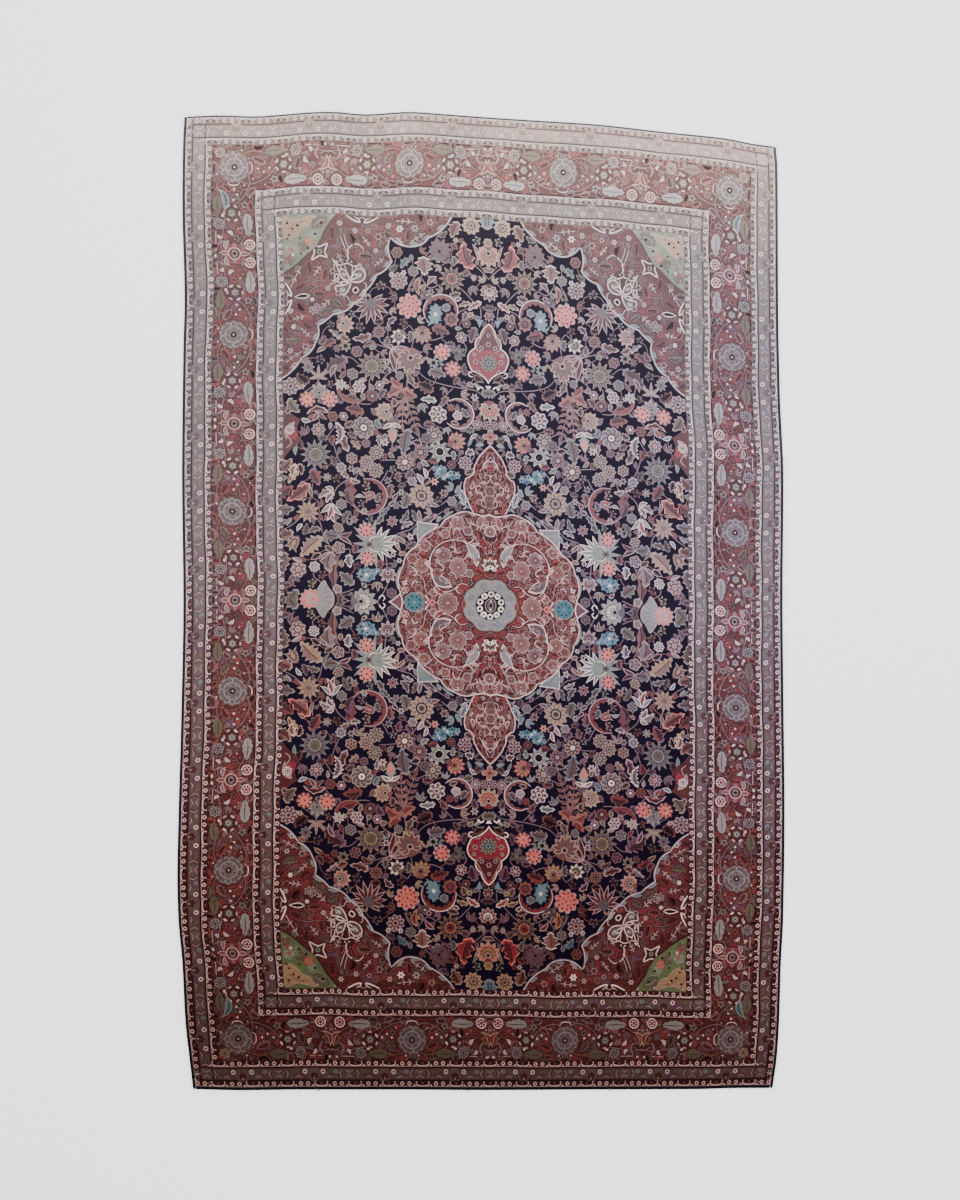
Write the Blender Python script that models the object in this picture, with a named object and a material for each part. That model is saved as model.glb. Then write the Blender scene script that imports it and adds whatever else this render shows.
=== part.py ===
"""Persian rug: a hand-knotted wool carpet lying flat on the floor.

The knotted carpet is one solid. A dark overcast cord is sewn along each long
side and a flat dark band along each end. Metres, +Z up, +Y towards the rug's
far end. The rug was never woven quite square, so its four edges follow their
own gentle curves.
"""

import bisect
import math

import bpy

# Driving dimensions.
CARPET_THICKNESS = 0.007      # foundation and clipped pile together
PILE_EDGE_ROUND = 0.0015      # how far the pile's rim is worn round
CORD_WIDTH = 0.010            # overcast side cord
CORD_HEIGHT = 0.008
NEAR_BAND_WIDTH = 0.012       # end band at -Y
FAR_BAND_WIDTH = 0.007        # end band at +Y
BAND_HEIGHT = 0.0055
GAP = 0.0003                  # between a cord or band and the carpet
OUTLINE_STEP = 0.045          # distance between points along an edge
PROFILE_SIDES = 12            # sides of a cord's and a band's section

# The outer edges, corner to corner, the cords and bands included.
# Long edges: y along the rug, x of the edge.
LEFT_EDGE = [
    (-1.708, -1.0066),
    (-1.589, -1.0210),
    (-1.466, -1.0345),
    (-1.256, -1.0455),
    (-1.116, -1.0585),
    (-0.976, -1.0625),
    (-0.738, -1.0580),
    (-0.416, -1.0490),
    (0.004, -1.0415),
    (0.441, -1.0460),
    (0.878, -1.0415),
    (1.054, -1.0370),
    (1.404, -1.0450),
    (1.596, -1.0425),
    (1.694, -1.0375),
]
RIGHT_EDGE = [
    (-1.704, 1.0195),
    (-1.589, 1.0360),
    (-1.466, 1.0435),
    (-1.256, 1.0500),
    (-1.116, 1.0575),
    (-0.738, 1.0625),
    (-0.346, 1.0585),
    (0.004, 1.0555),
    (0.424, 1.0585),
    (0.704, 1.0465),
    (1.040, 1.0400),
    (1.404, 1.0385),
    (1.526, 1.0370),
    (1.589, 1.0310),
]
# Short edges: x across the rug, y of the edge.
NEAR_EDGE = [
    (-1.0066, -1.7080),
    (-0.844, -1.7120),
    (-0.634, -1.7098),
    (-0.284, -1.7098),
    (-0.004, -1.7115),
    (0.416, -1.7095),
    (0.766, -1.7080),
    (0.889, -1.7042),
    (1.0195, -1.7040),
]
FAR_EDGE = [
    (-1.0375, 1.6940),
    (-0.914, 1.6990),
    (-0.791, 1.6955),
    (-0.686, 1.7025),
    (-0.588, 1.7105),
    (-0.528, 1.7120),
    (-0.402, 1.7025),
    (-0.252, 1.7115),
    (-0.144, 1.7045),
    (-0.004, 1.6940),
    (0.210, 1.6800),
    (0.396, 1.6680),
    (0.640, 1.6410),
    (0.854, 1.6185),
    (0.959, 1.5980),
    (1.031, 1.5890),
]


def edge_at(edge, along):
    """Where an edge lies at one place along it, on a smooth curve that never overshoots its points."""
    places = [place for place, _ in edge]
    i = min(max(bisect.bisect_right(places, along) - 1, 0), len(edge) - 2)
    step = places[i + 1] - places[i]
    t = min(max((along - places[i]) / step, 0.0), 1.0)
    start, end = edge[i][1], edge[i + 1][1]
    leave, arrive = slope_at(edge, i) * step, slope_at(edge, i + 1) * step
    return (
        start * (1 + 2 * t) * (1 - t) ** 2
        + leave * t * (1 - t) ** 2
        + end * t * t * (3 - 2 * t)
        - arrive * t * t * (1 - t)
    )


def slope_at(edge, i):
    """Slope of the curve at point i: none where the edge turns back, else the harmonic mean of both sides."""
    slopes = []
    for a, b in ((i - 1, i), (i, i + 1)):
        if 0 <= a and b < len(edge):
            slopes.append((edge[b][1] - edge[a][1]) / (edge[b][0] - edge[a][0]))
    if len(slopes) == 1:
        return slopes[0]
    if slopes[0] * slopes[1] <= 0:
        return 0.0
    return 2 * slopes[0] * slopes[1] / (slopes[0] + slopes[1])


def corner(side_edge, side_inset, end_edge, end_inset):
    """The point that lies side_inset in from a long edge and end_inset in from a short edge."""
    x, y = side_edge[0][1], end_edge[0][1]
    for _ in range(8):
        x = edge_at(side_edge, y) + side_inset
        y = edge_at(end_edge, x) + end_inset
    return x, y


def spaced(start, end):
    """Places from start to end: both ends, and between them the multiples of OUTLINE_STEP.

    Pieces that run side by side so have their points side by side too, and the gap between them stays even.
    """
    low, high = min(start, end), max(start, end)
    first = math.ceil((low + OUTLINE_STEP / 4) / OUTLINE_STEP)
    last = math.floor((high - OUTLINE_STEP / 4) / OUTLINE_STEP)
    places = [low] + [i * OUTLINE_STEP for i in range(first, last + 1)] + [high]
    return places if start < end else places[::-1]


def along_side(edge, inset, y_start, y_end):
    return [(edge_at(edge, y) + inset, y) for y in spaced(y_start, y_end)]


def along_end(edge, inset, x_start, x_end):
    return [(x, edge_at(edge, x) + inset) for x in spaced(x_start, x_end)]


def carpet_outline():
    """The carpet's own edge, inside the cords and bands, anticlockwise from its near left corner."""
    side = CORD_WIDTH + GAP
    near, far = NEAR_BAND_WIDTH + GAP, FAR_BAND_WIDTH + GAP
    near_left = corner(LEFT_EDGE, side, NEAR_EDGE, near)
    near_right = corner(RIGHT_EDGE, -side, NEAR_EDGE, near)
    far_right = corner(RIGHT_EDGE, -side, FAR_EDGE, -far)
    far_left = corner(LEFT_EDGE, side, FAR_EDGE, -far)
    runs = (
        along_end(NEAR_EDGE, near, near_left[0], near_right[0]),
        along_side(RIGHT_EDGE, -side, near_right[1], far_right[1]),
        along_end(FAR_EDGE, -far, far_right[0], far_left[0]),
        along_side(LEFT_EDGE, side, far_left[1], near_left[1]),
    )
    return [point for run in runs for point in run[:-1]]


def wool(name, colour, roughness):
    material = bpy.data.materials.new(name)
    material.use_nodes = True
    shader = material.node_tree.nodes["Principled BSDF"]
    shader.inputs["Base Color"].default_value = (*colour, 1.0)
    shader.inputs["Roughness"].default_value = roughness
    shader.inputs["Metallic"].default_value = 0.0
    return material


def place(obj, collection, material):
    obj.data.materials.append(material)
    collection.objects.link(obj)
    return obj


def make_carpet(collection, material):
    """The knotted carpet: its outline filled and extruded, with a worn rim."""
    curve = bpy.data.curves.new("carpet", "CURVE")
    curve.dimensions = "2D"
    curve.fill_mode = "BOTH"
    curve.extrude = CARPET_THICKNESS / 2 - PILE_EDGE_ROUND
    curve.bevel_depth = PILE_EDGE_ROUND
    curve.bevel_resolution = 1
    curve.offset = -PILE_EDGE_ROUND
    outline = carpet_outline()
    spline = curve.splines.new("POLY")
    spline.points.add(len(outline) - 1)
    for point, (x, y) in zip(spline.points, outline):
        point.co = (x, y, 0.0, 1.0)
    spline.use_cyclic_u = True
    carpet = place(bpy.data.objects.new("carpet", curve), collection, material)
    carpet.location.z = CARPET_THICKNESS / 2
    return carpet


def section(name, width, height, cutters):
    """An oval profile for a cord or band, kept out of the model itself."""
    curve = bpy.data.curves.new(name, "CURVE")
    curve.dimensions = "2D"
    spline = curve.splines.new("POLY")
    spline.points.add(PROFILE_SIDES - 1)
    for i, point in enumerate(spline.points):
        turn = -2 * math.pi * (i + 0.5) / PROFILE_SIDES
        stretch = 1 / math.cos(math.pi / PROFILE_SIDES)
        x, y = math.cos(turn) * stretch, math.sin(turn) * stretch
        point.co = (x * width / 2, y * height / 2, 0.0, 1.0)
    spline.use_cyclic_u = True
    profile = bpy.data.objects.new(name, curve)
    profile.hide_render = True
    profile.display_type = "WIRE"
    cutters.objects.link(profile)
    return profile


def make_strip(name, route, width, height, round_length, groups, material):
    """A cord or band along a route on the floor, drawn in to a rounded tip over round_length at each end."""
    collection, guides = groups
    curve = bpy.data.curves.new(name, "CURVE")
    curve.dimensions = "3D"
    curve.twist_mode = "Z_UP"
    curve.bevel_mode = "OBJECT"
    curve.bevel_object = section(name + "_section", width, height, guides)
    curve.use_fill_caps = True
    points = rounded_tips(route, round_length)
    spline = curve.splines.new("POLY")
    spline.points.add(len(points) - 1)
    for point, (x, y, girth) in zip(spline.points, points):
        point.co = (x, y, 0.0, 1.0)
        point.radius = girth
    strip = place(bpy.data.objects.new(name, curve), collection, material)
    strip.location.z = height / 2
    return strip


def rounded_tips(route, round_length):
    """The route with a few points added at each end, where the girth falls off as a quarter circle does."""
    points = [(x, y, 1.0) for x, y in route]
    if not round_length:
        return points
    for end in (0, -1):
        x, y = route[end]
        nx, ny = route[1] if end == 0 else route[-2]
        length = math.hypot(x - nx, y - ny)
        ux, uy = (x - nx) / length, (y - ny) / length
        tips = []
        for turn in (0.35, 0.65, 0.85, 0.97):
            reach = math.sin(turn * math.pi / 2) * round_length
            tips.append((x + ux * reach, y + uy * reach, math.cos(turn * math.pi / 2) ** 0.6))
        points = tips[::-1] + points if end == 0 else points + tips
    return points


def side_cord_route(edge, inward):
    """The middle line of a side cord, from the near end to the far one, short of the tips."""
    inset = inward * CORD_WIDTH / 2
    tip = CORD_WIDTH / 2
    near = corner(edge, inset, NEAR_EDGE, tip)[1]
    far = corner(edge, inset, FAR_EDGE, -tip)[1]
    return along_side(edge, inset, near, far)


def end_band_route(edge, inward, width):
    """The middle line of an end band, from cord to cord."""
    inset = inward * width / 2
    side = CORD_WIDTH + GAP + 0.0004
    left = corner(LEFT_EDGE, side, edge, inset)[0]
    right = corner(RIGHT_EDGE, -side, edge, inset)[0]
    return along_end(edge, inset, left, right)


def new_collection(name):
    collection = bpy.data.collections.new(name)
    bpy.context.scene.collection.children.link(collection)
    return collection


def main():
    for obj in list(bpy.data.objects):
        bpy.data.objects.remove(obj)
    rug = new_collection("Persian rug")
    guides = new_collection("Guides")
    groups = (rug, guides)

    pile = wool("Knotted wool pile", (0.16, 0.045, 0.05), 0.95)
    overcast = wool("Dark overcast wool", (0.02, 0.025, 0.04), 0.9)
    flatweave = wool("Dark end band wool", (0.018, 0.018, 0.035), 0.92)

    make_carpet(rug, pile)
    for name, edge, inward in (
        ("side_cord_left", LEFT_EDGE, 1),
        ("side_cord_right", RIGHT_EDGE, -1),
    ):
        route = side_cord_route(edge, inward)
        make_strip(name, route, CORD_WIDTH, CORD_HEIGHT, CORD_WIDTH / 2, groups, overcast)
    for name, edge, inward, width in (
        ("end_band_near", NEAR_EDGE, 1, NEAR_BAND_WIDTH),
        ("end_band_far", FAR_EDGE, -1, FAR_BAND_WIDTH),
    ):
        route = end_band_route(edge, inward, width)
        make_strip(name, route, width, BAND_HEIGHT, 0, groups, flatweave)


main()
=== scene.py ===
"""A hand-knotted persian rug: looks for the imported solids.

The design is drawn on squared paper as a maker draws it: one quarter, mirrored both ways. The paper's
x runs to the rug's right and y to its near end, in squares of one knot from the rug's centre. Each flat
shape has one yarn, and later shapes lie on top of earlier ones. Motifs stand in written lists, whose
rows hold a motif's place, sizes and yarns in the order that its function takes them.
"""

from math import atan2, ceil, copysign, cos, degrees, hypot, pi, radians, sin, tau

import bmesh
import bpy
import numpy as np
from mathutils import Matrix, Vector, bvhtree, geometry


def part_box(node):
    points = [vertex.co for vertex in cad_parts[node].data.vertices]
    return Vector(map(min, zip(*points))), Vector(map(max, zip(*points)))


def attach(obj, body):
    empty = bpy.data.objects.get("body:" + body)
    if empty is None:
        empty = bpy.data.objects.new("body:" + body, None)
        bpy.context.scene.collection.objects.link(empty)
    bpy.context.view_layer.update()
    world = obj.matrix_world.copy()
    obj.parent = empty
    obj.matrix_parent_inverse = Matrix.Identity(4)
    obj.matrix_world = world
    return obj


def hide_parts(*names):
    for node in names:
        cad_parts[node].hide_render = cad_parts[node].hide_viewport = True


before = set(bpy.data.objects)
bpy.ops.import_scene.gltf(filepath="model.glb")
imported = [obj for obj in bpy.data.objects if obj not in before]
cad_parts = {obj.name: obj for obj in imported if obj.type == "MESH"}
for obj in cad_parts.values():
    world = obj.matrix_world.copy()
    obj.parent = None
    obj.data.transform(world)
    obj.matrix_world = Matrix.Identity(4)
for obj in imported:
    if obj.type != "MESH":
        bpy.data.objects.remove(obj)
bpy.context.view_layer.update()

# ---------------------------------------------------------------- written lists
def table(text):
    """Rows of numbers and yarn names from a written list, which has a comma between two rows."""
    return [[word if word.isalpha() else float(word) if "." in word else int(word) for word in row.split()]
            for row in text.split(",")]


def path(points):
    """Points as they are, or from text that gives x and y in turn."""
    if not isinstance(points, str):
        return points
    numbers = table(points)[0]
    return list(zip(numbers[::2], numbers[1::2]))


def paths(text):
    """Several lines of points from a written list, which has a comma between two lines."""
    return [path(line) for line in text.split(",")]


# ---------------------------------------------------------------- sizes
HALF_WIDE = 297.0        # the knotted cloth's half width and half length, in squares
HALF_LONG = 480.0
FIELD_X = 203.0          # the field's half width and half length, in squares
FIELD_Y = 386.0
DOTS = 6.5               # one dotted stripe
BAND = 13.0              # the band between two dotted stripes
GUARD = DOTS + BAND + DOTS
MAIN = 42.5              # the main border
MAIN_FROM = GUARD        # depths are measured outwards from the field's edge
OUTER_FROM = GUARD + MAIN
PILE_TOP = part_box("carpet")[1].z
FOUNDATION_TOP = 0.003   # the woven foundation under the knots
KNOT = 0.0035            # from one knot to the next, and one square of the paper
WRAP = 0.0016            # from one thread to the next in a cord or band
TURN = 0.0062            # from one turn of yarn round a cord or band to the next
CORD_WIDE = 0.0100
CORD_HIGH = 0.0080
BAND_HIGH = 0.0055
CORD_GROOVE = 0.13       # how far a cord or band narrows between two turns, in parts of its width
BAND_GROOVE = 0.10
CORD_LEAN = 0.35         # how far a cord's turns slant, in parts of its width
NEAR_BAND_WIDE = 0.0120
FAR_BAND_WIDE = 0.0070

# ---------------------------------------------------------------- wool
# Each yarn, its red, green and blue under the studio light, and the darker yarn that shades it.
WOOL = table("""
    navy .0024 .001 .004, ink .0036 .0014 .002, madder .0235 .005 .0048 wine, wine .015 .0038 .0042 ink,
    umber .028 .0135 .0125 wine, brick .045 .008 .0084 wine, scarlet .062 .0068 .01 madder,
    rose .034 .0135 .0145 madder, mallow .05 .028 .031 rose, blush .113 .065 .065 mallow,
    shell .185 .122 .114 sand, coral .17 .04 .033 rust, ivory .25 .175 .145 sand,
    sand .092 .059 .046 taupe, gold .105 .058 .024 rust, olive .029 .0215 .014 umber,
    sage .052 .054 .04 slate, slate .04 .04 .043 turquoise, ash .062 .052 .051 taupe,
    turquoise .015 .034 .042 navy, sky .034 .054 .062 turquoise, green .03 .036 .0155 olive,
    plum .032 .012 .0185 wine, rust .047 .0165 .014 madder, clay .057 .0265 .0235 rust,
    honey .088 .048 .026 clay, ember .08 .024 .0175 brick, taupe .03 .0195 .021 umber
""")
YARNS = {yarn: tuple(colour) for yarn, *colour in (row[:4] for row in WOOL)}
YARN_NAMES = list(YARNS)
SHADES = {row[0]: row[4] for row in WOOL if len(row) > 4}
YARN_HAZE_SHARE = {"navy": 0.21, "ink": 0.4, "green": 1.8}   # how much painted haze, greying and blue sheen these take; the others take 1
CORD_NAVY = (0.0040, 0.0036, 0.0072)
BAND_NAVY = (0.0036, 0.0030, 0.0056)
COTTON = (0.2400, 0.2000, 0.1600)
EDGE_HAZE_SHARE = 0.35                         # how much painted haze, greying and blue sheen the cords, bands and warp ends take
# Painted light, at shares of the way from the near end to the far one: the gain in light as red, green
# and blue in parts of the scale below (near end in shade, far end brighter), the haze of glare and sheen,
# how far hues grey in that glare, and how blue the painted sheen looks.
LIGHT_GAIN_SCALE = 8.0
PAINTED_LIGHT_STOPS = table("""
    .055 .098 .089 .083, .25 .175 .167 .16, .42 .236 .236 .233, .5 .265 .265 .265, .78 .3 .3 .3,
    .85 .33 .33 .33, .9 .475 .475 .475, .94 .63 .61 .57, .97 .94 .9 .82
""")
PAINTED_HAZE_STOPS = table("""
    .25 0 0 0, .42 .0056 .0065 .0076, .52 .0165 .019 .022, .78 .034 .0385 .042, .85 .047 .049 .048,
    .94 .078 .0725 .064, .97 .106 .095 .082
""")
GREY_STOPS = table(".1 0, .3 .04, .5 .12, .75 .16, .95 .34")
COOL_STOPS = table(".12 .1, .3 .6, .45 .9, .6 1, .78 .8, .9 .2")
COOL_SIDE = table(".2 0, .7 1")             # how the painted blue sheen grows from the left side to the right
COOL = (1.02, 1.07, 1.34)
PAINTED_LIGHT_CAP = (0.5200, 0.4500, 0.4200)      # the palest that any wool goes under the painted light


# ---------------------------------------------------------------- drawing on the design paper
def smooth(points, closed=False, step=1.7):
    """A smooth line through given points, about one step between its own points."""
    p = np.array(path(points), float)
    count = len(p)
    if count < 3:
        return p
    found = []
    for i in range(count if closed else count - 1):
        b, c = p[i], p[(i + 1) % count]
        a = p[i - 1] if closed or i else b
        d = p[(i + 2) % count] if closed or i + 2 < count else c
        parts = max(1, int(round(np.hypot(*(c - b)) / step)))
        for t in np.arange(parts) / parts:
            found.append(0.5 * (2 * b + (c - a) * t + (2 * a - 5 * b + 4 * c - d) * t * t
                                + (3 * b - 3 * c + d - a) * t ** 3))
    if not closed:
        found.append(p[-1])
    return np.array(found)


def side_steps(p, closed):
    """The unit normals of a line of points, to its left."""
    if closed:
        run = np.roll(p, -1, 0) - np.roll(p, 1, 0)
    else:
        run = np.gradient(p, axis=0)
    length = np.maximum(np.hypot(run[:, 0], run[:, 1]), 1e-6)
    return np.stack([-run[:, 1], run[:, 0]], 1) / length[:, None]


def signed_area(p):
    x, y = p[:, 0], p[:, 1]
    return 0.5 * float(np.sum(x * np.roll(y, -1) - np.roll(x, -1) * y))


def turned(points, x, y, turn):
    """Points about the origin, turned by degrees and moved to (x, y)."""
    c, s = cos(radians(turn)), sin(radians(turn))
    p = np.array(path(points), float)
    return np.stack([x + p[:, 0] * c - p[:, 1] * s, y + p[:, 0] * s + p[:, 1] * c], 1)


def around(x, y, reach, a):
    """The point at a reach from (x, y), along the angle a in radians."""
    return x + reach * cos(a), y + reach * sin(a)


def wheel_points(radius, lobes, depth, sharp=False):
    """A ring of petals, with rounded lobes and sharp hollows, or of points if sharp."""
    per_lobe = 2 if sharp else 4
    count = lobes * per_lobe
    a = np.arange(count) * tau / count
    wave = np.abs(np.cos(a * lobes / 2))
    r = radius * (1 - depth + depth * wave)
    return np.stack([r * np.cos(a), r * np.sin(a)], 1)


def dense(points, step=3.0):
    """The same outline with a point about every step, so that it can follow the rug's wavering lines."""
    found = []
    for a, b in zip(points, points[1:] + points[:1]):
        parts = max(1, int(ceil(hypot(b[0] - a[0], b[1] - a[1]) / step)))
        found += [(a[0] + (b[0] - a[0]) * i / parts, a[1] + (b[1] - a[1]) * i / parts) for i in range(parts)]
    return found


class Chart:
    """A quarter of the design: flat shapes of one yarn each on a ground, which also cuts them off."""

    def __init__(self, ground, outline):
        self.shapes = []
        self.margins = []
        self.grounds = 0
        self.shade = None
        self.place = None
        self.fill(ground, dense([tuple(q) for q in outline]))

    def fill(self, yarn, points):
        p = np.array(path(points), float)
        if np.abs(np.roll(p, -1, 0) - p).max() > 8:
            p = np.array(dense([tuple(q) for q in p], 6.0))
        if self.place:
            p = self.place(p)
        if signed_area(p) < 0:
            p = p[::-1]
        self.shapes.append((yarn, p))
        if self.shade and np.ptp(p, 0).max() > 2.4:
            self.margins.append((self.shade, p - side_steps(p, True) * 1.1))

    def start_motifs(self, shade):
        """What follows are motifs, and the ground beside each one is a dark shade, a knot wide."""
        self.grounds = len(self.shapes)
        self.shade = shade

    def layers(self):
        """All shapes from the lowest to the topmost."""
        return self.shapes[:self.grounds] + self.margins + self.shapes[self.grounds:]

    def rimmed(self, edge, yarn, points, width=0.9):
        """A shape of one yarn with an outline of another."""
        p = np.array(points, float)
        if signed_area(p) < 0:
            p = p[::-1]
        self.fill(edge, p)
        self.fill(yarn, p + side_steps(p, True) * width)

    def line(self, yarn, points, width=1.0, taper=1.0, closed=False, step=2.4):
        """A smooth line, whose ends are taper times as wide as its middle."""
        p = smooth(points, closed, step)
        if closed:
            n = side_steps(p, True) * width / 2
            for a in range(len(p)):
                b = (a + 1) % len(p)
                self.fill(yarn, [p[a] + n[a], p[b] + n[b], p[b] - n[b], p[a] - n[a]])
            return
        t = np.linspace(0, 1, len(p))
        half = width / 2 * (taper + (1 - taper) * np.sin(pi * t) ** 0.7)
        n = side_steps(p, False) * np.maximum(half, 0.08)[:, None]
        self.fill(yarn, np.concatenate([p + n, (p - n)[::-1]]))

    def disc(self, yarn, x, y, r, sides=8, long=1.0, turn=0.0):
        a = (np.arange(sides) + 0.5) * tau / sides
        self.fill(yarn, turned(np.stack([r * long * np.cos(a), r * np.sin(a)], 1), x, y, turn))

    def dots(self, yarn, x, y, ring, count, r, turn=0.0):
        """A ring of small dots."""
        for i in range(count):
            self.disc(yarn, *around(x, y, ring, radians(turn) + tau * i / count), r, 5)

    def wheel(self, yarn, x, y, r, lobes, depth, turn=0.0, sharp=False):
        self.fill(yarn, turned(wheel_points(r, lobes, depth, sharp), x, y, turn))

    def strand(self, yarn, width, taper, *places):
        """A line through written x and y in turn."""
        self.line(yarn, list(zip(places[::2], places[1::2])), width, taper)

    def patch(self, yarn, *places):
        """A flat shape round written x and y in turn."""
        self.fill(yarn, list(zip(places[::2], places[1::2])))

    def draw(self, text):
        """Motifs from a written list: each one's kind, and then what it takes."""
        for kind, *values in table(text):
            getattr(self, kind)(*values)

    def heap(self, x, y, text):
        """Discs and wheels about one middle from a written list, the lowest first."""
        for kind, yarn, *sizes in table(text):
            getattr(self, kind)(yarn, x, y, *sizes)

    # -- flowers
    def petal(self, x, y, turn, near, far, half, edge, fill):
        """One petal of a flower at (x, y), from near to far from its middle, with a lighter edge."""
        long = far - near
        shape = np.array([(near, -half * 0.3), (near + long * 0.5, -half), (near + long * 0.84, -half * 0.5),
                          (far, 0), (near + long * 0.84, half * 0.5), (near + long * 0.5, half),
                          (near, half * 0.3)])
        self.fill(edge, turned(shape, x, y, turn))
        if half > 1.1:
            inner = [(near, 0), (near + long * 0.54, -half * 0.68), (near + long * 0.86, 0),
                     (near + long * 0.54, half * 0.68)]
            self.fill(fill, turned(inner, x, y, turn))
        if half > 1.4 and fill in SHADES:
            streak = [(near, 0), (near + long * 0.34, -half * 0.34), (near + long * 0.68, 0),
                      (near + long * 0.34, half * 0.34)]
            self.fill(SHADES[fill], turned(streak, x, y, turn))

    def rosette(self, x, y, r, petal, heart, edge, lobes, turn=0.0):
        """A round flower: petals with dark gaps between them, a dark ring, a heart and an eye."""
        if r < 4.7:
            self.wheel(edge, x, y, r, lobes, 0.45, turn, True)
            self.wheel(petal, x, y, r - 1.1, lobes, 0.4, turn, True)
            self.disc("ink", x, y, r * 0.26, 4)
            return
        self.wheel("wine", x, y, r * 0.9, lobes, 0.1, turn + 180 / lobes)
        half = r * 0.8 * sin(pi / lobes)
        for i in range(lobes):
            self.petal(x, y, turn + 360 * i / lobes, r * 0.34, r, half, edge, petal)
        self.disc("ink", x, y, r * 0.46, 8)
        self.disc(edge, x, y, r * 0.36, 7)
        self.disc(heart, x, y, r * 0.25, 6)
        if r > 7:
            self.disc("ink", x, y, r * 0.09, 5)

    def blossom(self, x, y, r, yarn, streak, edge, lobes):
        """A round flower with a thin scalloped edge, streaked petals and a dark heart."""
        self.wheel(edge, x, y, r, lobes, 0.16)
        self.wheel(yarn, x, y, r - 0.85, lobes, 0.16)
        self.wheel(SHADES[yarn], x, y, r * 0.62, lobes, 0.3, 180 / lobes, True)
        for i in range(lobes):
            self.petal(x, y, 360 * (i + 0.5) / lobes, r * 0.3, r * 0.8, 0.8, streak, yarn)
        self.disc(SHADES[yarn], x, y, r * 0.26, 6)
        self.disc(edge, x, y, r * 0.13, 5)

    def daisy(self, x, y, r, points, petal, edge, heart, turn=0.0):
        """A flower of sharp petals in two rows."""
        self.wheel(edge, x, y, r, points, 0.40, turn, True)
        self.wheel(petal, x, y, r * (0.88 if r > 9 else 0.8), points, 0.37, turn, True)
        if r > 7:
            shade = SHADES.get(petal, "ink")
            for i in range(points):
                self.petal(x, y, turn + 360 * (i + 0.5) / points, r * 0.42, r * 0.7, 0.8, shade, petal)
        self.wheel("ink", x, y, r * 0.54, points, 0.3, turn + 180 / points, True)
        self.disc(edge, x, y, r * 0.44, 9)
        self.disc(heart, x, y, r * 0.37, 8)
        self.disc(SHADES.get(heart, "ink"), x, y, r * 0.16, 6)

    def dotted(self, x, y, r, yarn, edge, rings):
        """A mulberry: a lobed blossom with rings of dark dots."""
        self.wheel(edge, x, y, r + 0.4, 9, 0.24)
        self.wheel(yarn, x, y, r - 1.2, 9, 0.12)
        self.dots("wine", x, y, r * 0.66, 7 + 2 * rings, 1.15, 20)
        if rings > 1:
            self.dots("wine", x, y, r * 0.36, 5, 0.8)
        self.disc("ink", x, y, 1.0, 5)

    def palmette(self, x, y, r, turn, fill, heart, edge, lobes, core="wine"):
        """A lotus seen from the side: pointed petals fanned along turn, a second row, and a heart."""
        x -= 0.28 * r * cos(radians(turn))
        y -= 0.28 * r * sin(radians(turn))
        self.disc(core, x, y, r * 0.75, 9)
        order = sorted(range(lobes), key=lambda i: -abs(i - (lobes - 1) / 2))
        rows = ((1.22, 118, 0.27, edge, fill), (0.78, 84, 0.2, core, heart))
        for reach, spread, width, first, second in rows:
            for i in order:
                lean = spread * (2 * i / (lobes - 1) - 1)
                far = r * reach * (0.72 + 0.28 * cos(radians(lean * 0.8)))
                self.petal(x, y, turn + lean, 0.1 * r, far, r * width, first, second)
        self.disc(edge, x, y, r * 0.26, 6)
        self.disc("ink", x, y, r * 0.15, 5)

    def tulip(self, x, y, size, turn, fill, edge, heart):
        """A flower of three pointed petals."""
        cup = np.array(table("""
                -.55 0, -.4 .3, 0 .42, .35 .42, .62 .62, .5 .3, .36 .16, .78 0, .36 -.16, .5 -.3, .62 -.62,
                .35 -.42, 0 -.42, -.4 -.3"""))
        self.fill(edge, turned(cup * size, x, y, turn))
        self.fill(fill, turned((cup * 0.8 + (-0.02, 0)) * size, x, y, turn))
        self.fill(heart, turned([(-0.3 * size, 0), (0, 0.16 * size), (0.42 * size, 0), (0, -0.16 * size)],
                                x, y, turn))

    def bud(self, x, y, size, turn, fill, edge):
        """A drop with a small calyx behind it."""
        drop = np.array(table("-.42 0, -.3 .24, 0 .36, .3 .2, .6 0, .3 -.2, 0 -.36, -.3 -.24"))
        self.fill("sage", turned(np.array(table("-.62 0, -.25 .42, -.1 0, -.25 -.42")) * size,
                                 x, y, turn))
        self.fill(edge, turned(drop * size, x, y, turn))
        self.fill(fill, turned(drop * size * 0.64, x, y, turn))

    # -- leaves and stems
    def leaf(self, x0, y0, x1, y1, width, fill, edge, bend=0.0, teeth=0, vein=True):
        """A leaf from its base to its tip, bent to its left by bend times its length."""
        long = hypot(x1 - x0, y1 - y0)
        steps = max(7 if width > 5.5 else 6, teeth * 2 + 1)
        t = np.linspace(0, 1, steps)
        half = width / 2 * np.sin(pi * t ** 0.8) ** 0.9
        if teeth:
            half[1::2] *= 1.35
            half[2:-1:2] *= 0.72
        axis = bend * long * 4 * t * (1 - t)
        p = np.concatenate([np.stack([t * long, axis + half], 1),
                            np.stack([t * long, axis - half], 1)[-2:0:-1]])
        turn = degrees(atan2(y1 - y0, x1 - x0))
        self.fill(edge, turned(p, x0, y0, turn))
        inner = p.copy()
        shrink = max(0.3, 1 - 1.9 / max(width, 0.1))
        middle = np.interp(p[:, 0], t * long, axis)
        inner[:, 1] = middle + (p[:, 1] - middle) * shrink
        inner[:, 0] = long * 0.5 + (p[:, 0] - long * 0.5) * 0.84
        self.fill(fill, turned(inner, x0, y0, turn))
        if vein and width > 3.4 and fill in SHADES:
            half_leaf = inner[:steps].copy()
            spine = np.stack([half_leaf[::-1, 0], np.interp(half_leaf[::-1, 0], t * long, axis)], 1)
            self.fill(SHADES[fill], turned(np.concatenate([half_leaf[1:-1], spine[1:-1]]), x0, y0, turn))
            if width > 5.2:
                rib = spine[1:-1]
                rib = np.concatenate([rib + (0, 0.35), rib[::-1] - (0, 0.35)])
                self.fill("ink", turned(rib, x0, y0, turn))
        return p

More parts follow.
